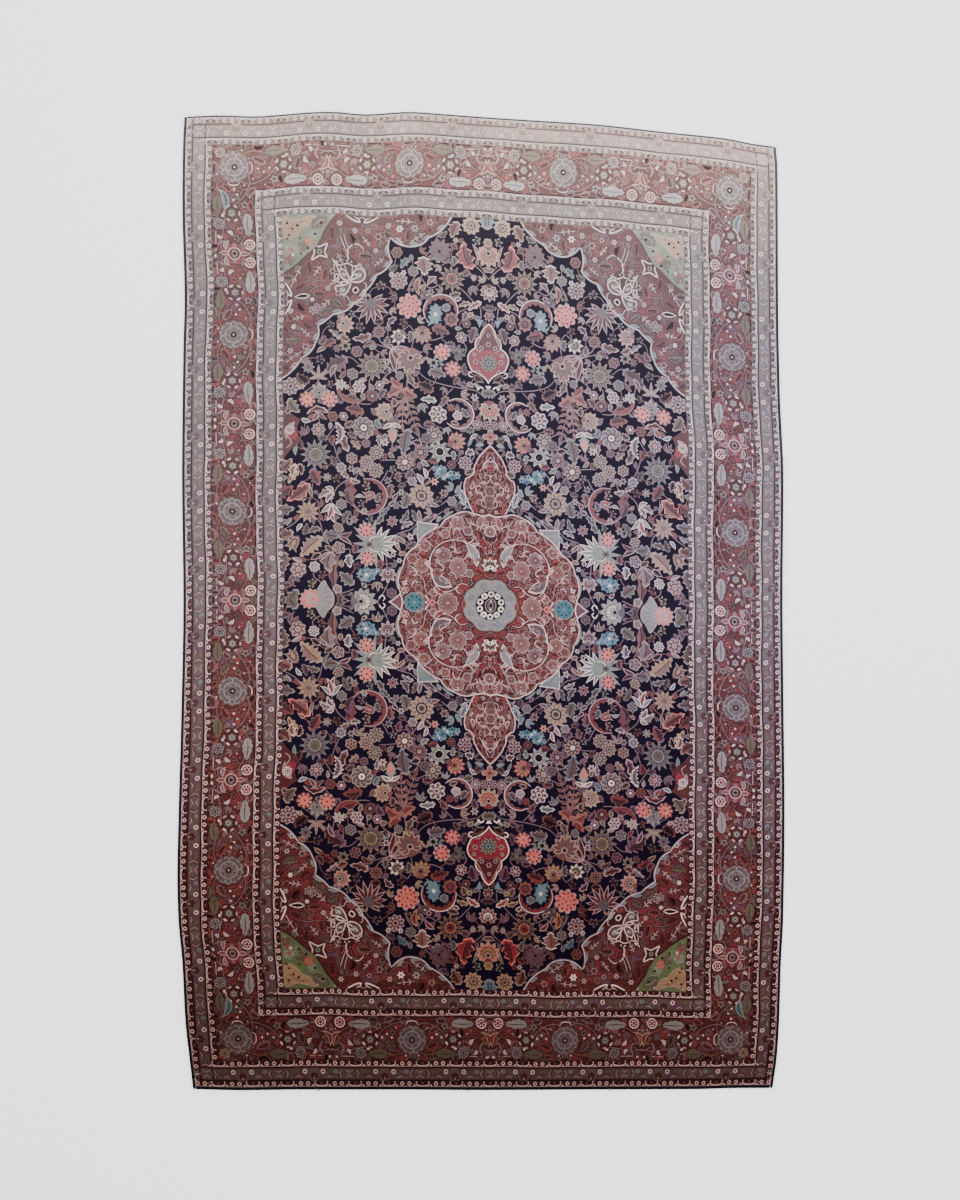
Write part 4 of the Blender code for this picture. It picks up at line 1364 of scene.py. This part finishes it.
# ---------------------------------------------------------------- laying the paper on the real rug
def new_object(name, data):
    """A new object of the scene, at the origin."""
    made = bpy.data.objects.new(name, data)
    bpy.context.collection.objects.link(made)
    return made


def rug_edges():
    """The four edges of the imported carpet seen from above, as (near, far) by x and (left, right) by y."""
    points = np.array([v.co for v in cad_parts["carpet"].data.vertices], float)
    rounding = 0.0014   # the height of the solid's rounded rims
    wall = points[(points[:, 2] > rounding) & (points[:, 2] < PILE_TOP - rounding)][:, :2]
    wide, long = wall[:, 0].max(), wall[:, 1].max()
    corner = lambda sx, sy: wall[np.argmax(sx * wall[:, 0] / wide + sy * wall[:, 1] / long)]
    near_left, near_right, far_left, far_right = (corner(sx, sy) for sy in (-1, 1) for sx in (-1, 1))
    margin = 0.07       # how far an edge strays from the straight line between its corners, at most
    edges = {}
    for name, a, b, axis in (("near", near_left, near_right, 0), ("far", far_left, far_right, 0),
                             ("left", near_left, far_left, 1), ("right", near_right, far_right, 1)):
        chord = a[None] + (wall[:, axis] - a[axis])[:, None] / (b[axis] - a[axis]) * (b - a)[None]
        close = np.abs(wall[:, 1 - axis] - chord[:, 1 - axis]) < margin
        inside = (wall[:, axis] >= min(a[axis], b[axis])) & (wall[:, axis] <= max(a[axis], b[axis]))
        found = wall[close & inside]
        found = found[np.argsort(found[:, axis])]
        edges[name] = (a, b, found[:, axis], found[:, 1 - axis])
    return edges


EDGES = rug_edges()
# Where the borders of the real rug lie, as shares of its half width and half length.
ACROSS = ((-297, -203, 0, 203, 297), (-1.0, -0.670, 0.025, 0.690, 1.0))
ALONG = ((-480, -386, 0, 386, 480), (-1.0, -0.7998, -0.0062, 0.7923, 1.0))


def on_edge(name, share):
    """Points on one edge of the rug, for shares from -1 to 1 of the way along it."""
    a, b, places, values = EDGES[name]
    axis = 0 if name in ("near", "far") else 1
    t = (share + 1) / 2
    run = a[axis] + (b[axis] - a[axis]) * t
    off = np.interp(run, places, values)
    return np.stack([run, off] if axis == 0 else [off, run], 1)


def lay_out(squares):
    """World x and y for points of the paper, with y to the far end, on the rug's own uneven outline."""
    x, y = squares[:, 0], squares[:, 1]
    # a weaver's hand: lines waver by less than a square
    wave_x = 0.5 * np.sin(y / 23.0 + 0.7) + 0.35 * np.sin(y / 9.1 + x / 31.0)
    wave_y = 0.5 * np.sin(x / 27.0 + 1.9) + 0.35 * np.sin(x / 10.3 - y / 37.0)
    fade = np.clip((1 - np.abs(x) / HALF_WIDE) * 12, 0, 1) * np.clip((1 - np.abs(y) / HALF_LONG) * 12, 0, 1)
    lean = 0.022 * x * np.clip(1 - np.abs(y) / HALF_LONG, 0, 1)
    s = np.interp(x + wave_x * fade, *ACROSS)
    t = np.interp(y - lean * fade + wave_y * fade, *ALONG)
    near, far = on_edge("near", s), on_edge("far", s)
    left, right = on_edge("left", t), on_edge("right", t)
    u, v = ((s + 1) / 2)[:, None], ((t + 1) / 2)[:, None]
    nl, nr, fl, fr = EDGES["near"][0], EDGES["near"][1], EDGES["far"][0], EDGES["far"][1]
    corners = (1 - u) * (1 - v) * nl + u * (1 - v) * nr + (1 - u) * v * fl + u * v * fr
    return (1 - v) * near + v * far + (1 - u) * left + u * right - corners


def seen_lines(verts, faces, yarns):
    """The lines between two yarns and round the outline, without the points that lie in a straight run."""
    sides = {}
    for face, yarn in zip(faces, yarns):
        for a, b in zip(face, face[1:] + face[:1]):
            sides.setdefault((min(a, b), max(a, b)), []).append(yarn)
    near = {}
    rim = set()
    for (a, b), found in sides.items():
        if len(found) == 1:
            rim.update((a, b))
        if len(found) == 1 or found[0] != found[1]:
            near.setdefault(a, set()).add(b)
            near.setdefault(b, set()).add(a)
    for v in list(near):
        if len(near[v]) != 2:
            continue
        a, b = near[v]
        whole = verts[b] - verts[a]
        aside = abs(whole.cross(verts[v] - verts[a])) / max(whole.length, 1e-9)
        if b in near[a] or whole.length > 4.0 or aside > (0.002 if v in rim else 0.05):
            continue
        for one, other in ((a, b), (b, a)):
            near[one].remove(v)
            near[one].add(other)
        del near[v]
    return [(a, b) for a in near for b in near[a] if a < b]


def chart_mesh(chart):
    """A bmesh of one quarter: the chart's shapes cut into each other, each face with its yarn's number."""
    points, rings = [], []
    layers = chart.layers()
    for yarn, p in layers:
        rings.append(list(range(len(points), len(points) + len(p))))
        points.extend(Vector(q) for q in p)
    verts, _, faces, _, _, origins = geometry.delaunay_2d_cdt(points, [], rings, 1, 1e-4, True)
    drawn = [(list(face), YARN_NAMES.index(layers[max(owners)][0]))
             for face, owners in zip(faces, origins) if 0 in owners]
    faces, yarns = zip(*drawn)
    lines = seen_lines(verts, faces, yarns)
    under = bvhtree.BVHTree.FromPolygons([v.to_3d() for v in verts], faces)
    used = sorted({v for line in lines for v in line})
    rank = {v: i for i, v in enumerate(used)}
    lines = [(rank[a], rank[b]) for a, b in lines]
    verts, _, faces, _, _, _ = geometry.delaunay_2d_cdt([verts[v] for v in used], lines, [], 1, 1e-5, False)
    bm = bmesh.new()
    layer = bm.faces.layers.int.new("yarn")
    made = [bm.verts.new((v.x, -v.y, 0)) for v in verts]
    for face in faces:
        middle = sum((verts[i] for i in face), Vector((0, 0))) / 3
        hit = under.ray_cast(middle.to_3d() + Vector((0, 0, 1)), (0, 0, -1))[2]
        if hit is not None:
            new = bm.faces.new([made[i] for i in reversed(face)])
            new[layer] = yarns[hit]
    bmesh.ops.delete(bm, geom=[v for v in bm.verts if not v.link_faces], context="VERTS")
    return bm


def mirrored(bm, part):
    """The quarter and its mirror images, welded where they meet: the whole rug, or its near or far half."""
    if part == "far":
        bmesh.ops.scale(bm, vec=(1, -1, 1), verts=bm.verts)
    for axis in ("X", "Y") if part == "all" else ("X",):
        bmesh.ops.mirror(bm, geom=bm.verts[:] + bm.edges[:] + bm.faces[:], axis=axis, merge_dist=1e-4)
    bmesh.ops.recalc_face_normals(bm, faces=bm.faces)
    if sum(f.normal.z for f in bm.faces[:50]) < 0:
        bmesh.ops.reverse_faces(bm, faces=bm.faces)


def laid_out(bm, height):
    """Puts the drawn faces on the rug's own outline, at one height."""
    world = lay_out(np.array([v.co[:2] for v in bm.verts]))
    for v, (x, y) in zip(bm.verts, world):
        v.co = (x, y, height)


def closed_slab(bm, top, bottom):
    """Closes the drawn faces with walls and a plain underside."""
    laid_out(bm, top)
    rim = [e for e in bm.edges if e.is_boundary]
    wall = bmesh.ops.extrude_edge_only(bm, edges=rim)["geom"]
    for v in (g for g in wall if isinstance(g, bmesh.types.BMVert)):
        v.co.z = bottom
    foot = [e for e in bm.edges if e.is_boundary]
    bmesh.ops.triangle_fill(bm, edges=foot, use_beauty=False, use_dissolve=False)


def two_sided_sheet(bm, top):
    """Closes the drawn faces with the same drawing on the underside, as knots show on a rug's back."""
    laid_out(bm, 0.0)
    raised = bmesh.ops.extrude_face_region(bm, geom=bm.faces[:], use_keep_orig=True)["geom"]
    for v in (g for g in raised if isinstance(g, bmesh.types.BMVert)):
        v.co.z = top


def as_piece(name, bm, material):
    """The finished object of a bmesh, at the origin."""
    bmesh.ops.recalc_face_normals(bm, faces=bm.faces)
    mesh = bpy.data.meshes.new(name)
    bm.to_mesh(mesh)
    bm.free()
    mesh.materials.append(material)
    return new_object(name, mesh)


def dye(piece, painted_light, depth=1.0):
    """Gives every face corner its yarn's colour, depth times as light, and how much painted haze that yarn
    takes.
    """
    mesh = piece.data
    numbers = np.zeros(len(mesh.polygons), np.int32)
    mesh.attributes["yarn"].data.foreach_get("value", numbers)
    mesh.attributes.remove(mesh.attributes["yarn"])
    shades = [tuple(c * depth for c in YARNS[y]) + (painted_light * YARN_HAZE_SHARE.get(y, 1.0),) for y in YARN_NAMES]
    sides = np.zeros(len(mesh.polygons), np.int32)
    mesh.polygons.foreach_get("loop_total", sides)
    layer = mesh.attributes.new("dye", "FLOAT_COLOR", "CORNER")
    layer.data.foreach_set("color", np.repeat(np.array(shades, np.float32)[numbers], sides, 0).ravel())


def knotted_piece(name, chart, material, painted_light, depth=1.0, part="all"):
    """One zone of the rug, knotted after its chart, as a closed piece of pile."""
    bm = chart_mesh(chart)
    mirrored(bm, part)
    closed_slab(bm, PILE_TOP, FOUNDATION_TOP)
    piece = as_piece(name, bm, material)
    dye(piece, painted_light, depth)
    return piece


def woven_foundation(material):
    """The cloth that carries the knots, with the zones' grounds showing on its back."""
    chart = Chart("wine", strip(0, HALF_WIDE, 0, HALF_LONG))
    for yarn, depth in (("madder", OUTER_FROM), ("taupe", GUARD), ("navy", 0)):
        chart.fill(yarn, strip(0, FIELD_X + depth, 0, FIELD_Y + depth))
    chart.fill("madder", CORNER_EDGE + [(FIELD_X, FIELD_Y)])
    chart.fill("rose", [(0, 0)] + MEDALLION_EDGE)
    bm = chart_mesh(chart)
    mirrored(bm, "all")
    two_sided_sheet(bm, FOUNDATION_TOP)
    piece = as_piece("woven_foundation", bm, material)
    dye(piece, 1.0)
    return piece


# ---------------------------------------------------------------- edges: overcast cords and end bands
def centre_line(node):
    """The centreline of a packed cord or band, through its own cross-sections."""
    points = np.unique(np.round([v.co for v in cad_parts[node].data.vertices], 5), axis=0)
    axis = 1 if "cord" in node else 0
    points = points[np.argsort(points[:, axis])]
    cuts = np.nonzero(np.diff(points[:, axis]) > 0.012)[0] + 1
    return np.array([(group.min(0) + group.max(0)) / 2 for group in np.split(points, cuts)])


def oval(wide, high, sides):
    """The rounded flat cross-section of a cord or band, as a closed curve for a sweep."""
    data = bpy.data.curves.new("oval", "CURVE")
    data.dimensions = "2D"
    line = data.splines.new("POLY")
    line.points.add(sides - 1)
    line.use_cyclic_u = True
    for i, point in enumerate(line.points):
        a = tau * (i + 0.5) / sides
        c, s = (copysign(abs(v) ** 0.7, v) for v in (cos(a), sin(a)))
        point.co = (wide / 2 * c, high / 2 * s, 0, 1)
    return new_object("oval", data)


def wrapped_edge(name, node, wide, high, groove, lean, material):
    """A cord or band under turns of yarn: an oval swept along its line that swells once in every turn.

    It narrows by the groove between two turns, and the lean is how far the turns slant.
    """
    line = centre_line(node)
    run = np.concatenate([[0], np.cumsum(np.hypot(*np.diff(line[:, :2], axis=0).T))])
    count = 2 * int(run[-1] / TURN)
    places = np.linspace(0, run[-1], count + 1)
    spread = np.random.default_rng(len(name))
    data = bpy.data.curves.new(name, "CURVE")
    data.dimensions = "3D"
    data.twist_mode = "Z_UP"
    data.bevel_mode = "OBJECT"
    data.bevel_object = oval(wide, high, 10)
    data.use_fill_caps = True
    spline = data.splines.new("POLY")
    spline.points.add(count)
    for i, (point, place) in enumerate(zip(spline.points, places)):
        point.co = tuple(np.interp(place, run, line[:, k]) for k in range(2)) + (high / 2, 1)
        point.radius = (1.0 - groove * (i % 2)) * spread.uniform(0.95, 1.0)
    swept = new_object(name, data)
    mesh = bpy.data.meshes.new_from_object(swept.evaluated_get(bpy.context.evaluated_depsgraph_get()))
    bm = bmesh.new()
    bm.from_mesh(mesh)
    bmesh.ops.remove_doubles(bm, verts=bm.verts, dist=1e-6)
    axis = 1 if "cord" in node else 0
    for v in bm.verts:
        middle = np.interp(v.co[axis], line[:, axis], line[:, 1 - axis])
        ends = min(1.0, (v.co[axis] - line[0, axis]) / 0.02, (line[-1, axis] - v.co[axis]) / 0.02)
        v.co[axis] += lean * (v.co[1 - axis] - middle) * max(0.0, ends)
    for old in (swept, data.bevel_object):
        bpy.data.objects.remove(old)
    bpy.data.meshes.remove(mesh)
    piece = as_piece(name, bm, material)
    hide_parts(node)
    return piece


def warp_ends(material):
    """A few short ends of the cotton warp that stand out of the near band."""
    bm = bmesh.new()
    spread = np.random.default_rng(7)
    line = centre_line("end_band_near")
    for x in (-0.574, -0.571, -0.047, -0.044, 0.447, 0.451, 0.455, 0.87):
        y = float(np.interp(x, line[:, 0], line[:, 1])) - 0.0035
        root = Matrix.Translation((x, y, 0.0052))
        ring = bmesh.ops.create_circle(bm, segments=6, radius=0.0009, matrix=root)
        loop = list({e for v in ring["verts"] for e in v.link_edges})
        turn = spread.uniform(-0.5, 0.5)
        for step in range(5):
            made = bmesh.ops.extrude_edge_only(bm, edges=loop)["geom"]
            verts = [g for g in made if isinstance(g, bmesh.types.BMVert)]
            loop = [g for g in made if isinstance(g, bmesh.types.BMEdge) and all(v in verts for v in g.verts)]
            away = Vector((0.0012 * sin(turn + step * 0.3), -0.0016, 0.0004 if step < 2 else -0.0009))
            bmesh.ops.translate(bm, vec=away, verts=verts)
        bmesh.ops.scale(bm, vec=(0.6, 0.6, 0.6), verts=verts,
                        space=Matrix.Translation(-sum((v.co for v in verts), Vector()) / len(verts)))
    bmesh.ops.holes_fill(bm, edges=[e for e in bm.edges if e.is_boundary], sides=8)
    return as_piece("warp_ends", bm, material)


# ---------------------------------------------------------------- shader groups
class Graph:
    """A short way to write node trees: each method adds one node and returns its output."""

    def __init__(self, tree):
        self.tree = tree

    def node(self, kind, settings=(), **inputs):
        made = self.tree.nodes.new("ShaderNode" + kind)
        for key, value in dict(settings).items():
            setattr(made, key, value)
        for key, value in inputs.items():
            self.feed(made.inputs[key.replace("_", " ")], value)
        return made

    def feed(self, socket, value):
        if isinstance(value, bpy.types.NodeSocket):
            self.tree.links.new(value, socket)
        else:
            socket.default_value = value

    def math(self, operation, *values):
        made = self.tree.nodes.new("ShaderNodeMath")
        made.operation = operation
        for socket, value in zip(made.inputs, values):
            self.feed(socket, value)
        return made.outputs[0]

    def blend(self, *parts):
        """The sum of the parts, each one a value and its share."""
        total = None
        for value, share in parts:
            part = self.math("MULTIPLY", value, share)
            total = part if total is None else self.math("ADD", total, part)
        return total

    def vector(self, operation, *values):
        made = self.tree.nodes.new("ShaderNodeVectorMath")
        made.operation = operation
        for socket, value in zip(made.inputs, values):
            self.feed(socket, value)
        return made.outputs["Vector"]

    def scaled(self, vector, sizes):
        return self.vector("MULTIPLY", vector, sizes)

    def noise(self, vector, scale, detail=2.0, rough=0.5):
        made = self.node("TexNoise", Vector=vector, Scale=scale, Detail=detail, Roughness=rough)
        return made.outputs["Fac"]

    def ramp(self, factor, stops):
        """A colour ramp through stops of a place and one grey or three parts of a colour."""
        made = self.node("ValToRGB", Fac=factor)
        band = made.color_ramp
        while len(band.elements) < len(stops):
            band.elements.new(0.5)
        for element, (place, *shade) in zip(band.elements, stops):
            element.position = place
            element.color = (shade * 3)[:3] + [1]
        return made.outputs["Color"]

    def mix(self, kind, factor, a, b):
        made = self.tree.nodes.new("ShaderNodeMix")
        made.data_type = "RGBA"
        made.blend_type = kind
        self.feed(made.inputs["Factor"], factor)
        for name, value in (("A", a), ("B", b)):
            socket = [s for s in made.inputs if s.name == name and s.type == "RGBA"][0]
            self.feed(socket, value)
        return [s for s in made.outputs if s.type == "RGBA"][0]


def shader_group(name, inputs, outputs):
    """An empty node group with named sockets, and its graph and ends."""
    tree = bpy.data.node_groups.new(name, "ShaderNodeTree")
    for way, sockets in (("INPUT", inputs), ("OUTPUT", outputs)):
        for label, kind in sockets:
            tree.interface.new_socket(label, in_out=way, socket_type="NodeSocket" + kind)
    start = tree.nodes.new("NodeGroupInput")
    end = tree.nodes.new("NodeGroupOutput")
    return tree, Graph(tree), start.outputs, end.inputs


def knots_group():
    """Rows of knots: their height, one random value for each, and the nap's fine streaks."""
    tree, g, given, made = shader_group("knots", [("Position", "Vector"), ("Pitch", "Float")],
                                        [("Height", "Float"), ("Each", "Float"), ("Nap", "Float")])
    wobble = g.noise(given["Position"], 60.0, 1.0)
    pitch = g.node("CombineXYZ", X=given["Pitch"], Y=given["Pitch"], Z=1.0).outputs[0]
    sway = g.node("CombineXYZ", X=wobble, Y=wobble, Z=0.0).outputs[0]
    cell = g.vector("ADD", g.vector("DIVIDE", given["Position"], pitch), g.scaled(sway, (0.5, 0.9, 0.0)))
    parts = g.node("SeparateXYZ", Vector=g.vector("FRACTION", cell)).outputs
    dome = [g.math("SINE", g.math("MULTIPLY", parts[i], pi)) for i in (0, 1)]
    each = g.node("TexWhiteNoise", {"noise_dimensions": "2D"}, Vector=g.vector("FLOOR", cell))
    nap = g.noise(g.scaled(given["Position"], (1.0, 0.22, 1.0)), 520.0, 2.0, 0.6)
    height = g.math("POWER", g.math("MULTIPLY", dome[0], dome[1]), 0.5)
    g.feed(made["Height"], g.blend((height, 0.7), (nap, 0.5)))
    g.feed(made["Each"], each.outputs["Value"])
    g.feed(made["Nap"], nap)
    return tree


def dye_lots_group():
    """Uneven dyeing: bands of weaving in another lot of wool, blotches, and a grain from knot to knot."""
    wants = [("Color", "Color"), ("Position", "Vector"), ("Each", "Float"), ("Nap", "Float")]
    tree, g, given, made = shader_group("dye_lots", wants, [("Color", "Color")])
    bands = g.noise(g.scaled(given["Position"], (0.25, 14.0, 1.0)), 1.0, 3.0, 0.62)
    rows = g.noise(g.scaled(given["Position"], (2.2, 90.0, 1.0)), 1.0, 2.0, 0.6)
    blotch = g.noise(given["Position"], 9.0, 3.0, 0.6)
    speck = g.noise(given["Position"], 140.0, 2.0, 0.7)
    level = g.blend((bands, 0.55), (rows, 0.35), (blotch, 0.35), (speck, 0.75), (given["Each"], 0.34),
                    (given["Nap"], 0.30))
    level = g.math("SUBTRACT", level, 0.29)
    grey = g.node("CombineColor", Red=level, Green=level, Blue=level).outputs[0]
    toned = g.mix("MULTIPLY", 1.0, given["Color"], grey)
    hue = g.math("ADD", g.math("MULTIPLY", blotch, 0.03), 0.485)
    shade = g.node("HueSaturation", Color=toned, Hue=hue, Saturation=g.math("ADD", speck, 0.5))
    g.feed(made["Color"], shade.outputs[0])
    return tree


def painted_light_group():
    """Painted light: far end lit up, hazy and greyed by glare and sheen, near end in shade; Share sets haze,
    grey and blue.
    """
    wants = [("Color", "Color"), ("Share", "Float"), ("Position", "Vector")]
    tree, g, given, made = shader_group("painted_light", wants, [("Color", "Color")])
    at = g.node("SeparateXYZ", Vector=given["Position"]).outputs
    patchy = g.math("MULTIPLY", g.math("SUBTRACT", g.noise(given["Position"], 5.0, 3.0, 0.6), 0.5), 0.25)
    along = g.math("ADD", at[1], patchy)

    # the way along the rug, leaned so that the painted glare is stronger towards the right
    def run(lean):
        place = g.math("ADD", along, g.math("MULTIPLY", at[0], lean))
        return g.math("DIVIDE", g.math("ADD", place, 1.8), 3.6)

    # painted light and shade: a gain that darkens the near end and lights the far one, then painted haze,
    # greying and blue sheen
    pale = g.scaled(g.ramp(run(0.12), PAINTED_LIGHT_STOPS), (LIGHT_GAIN_SCALE, LIGHT_GAIN_SCALE, LIGHT_GAIN_SCALE))
    painted_haze = g.scaled(g.ramp(run(0.08), PAINTED_HAZE_STOPS), given["Share"])
    grey = g.node("RGBToBW", Color=given["Color"]).outputs[0]
    glare_weight = g.math("MINIMUM", g.math("MULTIPLY", given["Share"], 1.8), 1.0)
    greyed = g.mix("MIX", g.math("MULTIPLY", g.ramp(run(0.3), GREY_STOPS), glare_weight), given["Color"], grey)
    lighter = g.scaled(greyed, pale)
    across = g.ramp(g.math("ADD", g.math("MULTIPLY", at[0], 0.45), 0.5), COOL_SIDE)
    cool = g.math("MULTIPLY", g.math("MULTIPLY", g.ramp(run(0.0), COOL_STOPS), across), glare_weight)
    cooled = g.mix("MIX", cool, lighter, g.scaled(lighter, COOL))
    g.feed(made["Color"], g.mix("DARKEN", 1.0, g.vector("ADD", cooled, painted_haze), PAINTED_LIGHT_CAP + (1,)))
    return tree


def wool_material(name, groups, colour=None):
    """Wool in knots or turns: dyed from the chart, or in one colour, uneven, under painted light and rough.
    """
    material = bpy.data.materials.new(name)
    material.use_nodes = True
    g = Graph(material.node_tree)
    shader = material.node_tree.nodes["Principled BSDF"]
    for socket, value in (("Specular IOR Level", 0.005), ("Sheen Weight", 0.008), ("Sheen Roughness", 0.6)):
        shader.inputs[socket].default_value = value
    place = g.node("TexCoord").outputs["Object"]

    def group(tree, **inputs):
        made = material.node_tree.nodes.new("ShaderNodeGroup")
        made.node_tree = tree
        for key, value in inputs.items():
            g.feed(made.inputs[key], value)
        return made.outputs

    if colour is None:
        yarn = g.node("Attribute", {"attribute_name": "dye"}).outputs
        colour, share, pitch = yarn["Color"], yarn["Alpha"], KNOT
    else:
        colour, share, pitch = colour + (1,), EDGE_HAZE_SHARE, WRAP
    knots = group(groups["knots"], Position=place, Pitch=pitch)
    lots = group(groups["dye_lots"], Color=colour, Position=place, Each=knots["Each"], Nap=knots["Nap"])
    painted_lit = group(groups["painted_light"], Color=lots["Color"], Share=share, Position=place)
    g.feed(shader.inputs["Base Color"], painted_lit["Color"])
    rough = g.math("ADD", g.math("MULTIPLY", knots["Nap"], 0.22), 0.76)
    g.feed(shader.inputs["Roughness"], rough)
    bump = g.node("Bump", Height=knots["Height"], Strength=0.55, Distance=0.0012)
    g.feed(shader.inputs["Normal"], bump.outputs[0])
    return material


# ---------------------------------------------------------------- camera, light and floor
def camera():
    """A camera straight above the rug, whose frame is 4.2 m long on the floor."""
    distance, framed, sensor = 5.5, 4.2, 36.0
    data = bpy.data.cameras.new("camera")
    data.sensor_width = sensor
    data.lens = sensor * distance / framed
    cam = new_object("camera", data)
    cam.location = (-0.0035, 0.0035, distance)
    bpy.context.scene.camera = cam


def studio():
    """A near-white floor under even, soft light from above."""
    world = bpy.data.worlds.new("studio")
    world.use_nodes = True
    sky = world.node_tree.nodes["Background"]
    sky.inputs["Color"].default_value = (1, 1, 1, 1)
    sky.inputs["Strength"].default_value = 1.9
    bpy.context.scene.world = world
    lamp = bpy.data.lights.new("overhead", "AREA")
    lamp.shape = "RECTANGLE"
    lamp.size, lamp.size_y = 6.0, 4.0
    lamp.energy = 900.0
    over = new_object("overhead", lamp)
    over.location = (1.6, 3.4, 8.4)
    over.rotation_euler = (Vector((0, 0.2, 0)) - over.location).to_track_quat("-Z", "Y").to_euler()
    bm = bmesh.new()
    bmesh.ops.create_grid(bm, x_segments=1, y_segments=1, size=9.0)
    mesh = bpy.data.meshes.new("floor")
    bm.to_mesh(mesh)
    bm.free()
    floor = new_object("floor", mesh)
    floor.location.z = -0.0005   # just under the rug, so that the two don't flicker
    paint = bpy.data.materials.new("floor_paint")
    paint.use_nodes = True
    shader = paint.node_tree.nodes["Principled BSDF"]
    shader.inputs["Base Color"].default_value = (0.93, 0.93, 0.93, 1)
    shader.inputs["Roughness"].default_value = 0.9
    mesh.materials.append(paint)


# ---------------------------------------------------------------- the rug
camera()
studio()
groups = {"knots": knots_group(), "dye_lots": dye_lots_group(), "painted_light": painted_light_group()}
pile = wool_material("knotted_pile", groups)
cord_wool = wool_material("overcast_cord", groups, CORD_NAVY)
band_wool = wool_material("end_band", groups, BAND_NAVY)
cotton = wool_material("warp_cotton", groups, COTTON)

garden = field()
# each zone, how much painted haze it takes and how light its wool is
zones = [
    knotted_piece("pile_outer_guard", guard_ring(OUTER_FROM), pile, 1.6, 1.08),
    knotted_piece("pile_main_border", main_border(), pile, 0.55, 1.16),
    knotted_piece("pile_inner_guard", guard_ring(0), pile, 1.8, 1.08),
    # the field's near half is a little darker than its far half: painted shade towards the near end
    knotted_piece("pile_field_near", garden, pile, 1.0, 0.96, "near"),
    knotted_piece("pile_field_far", garden, pile, 1.0, 1.01, "far"),
    knotted_piece("pile_medallion", medallion(), pile, 0.25, 1.04),
    knotted_piece("pile_corners", corner_piece(), pile, 0.75, 1.1),
    knotted_piece("pile_side_cartouches", side_cartouche(), pile, 0.8),
]
foundation = woven_foundation(pile)
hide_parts("carpet")
cords = [
    wrapped_edge("overcast_cord_" + side, "side_cord_" + side, CORD_WIDE, CORD_HIGH, CORD_GROOVE,
                 CORD_LEAN, cord_wool)
    for side in ("left", "right")
]
bands = [
    wrapped_edge("woven_band_" + side, "end_band_" + side, wide, BAND_HIGH, BAND_GROOVE, 0.0, band_wool)
    for side, wide in (("near", NEAR_BAND_WIDE), ("far", FAR_BAND_WIDE))
]
ends = warp_ends(cotton)
for piece in zones + [foundation]:
    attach(piece, "root")
for piece in cords:
    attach(piece, "root")
for piece in bands + [ends]:
    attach(piece, "root")
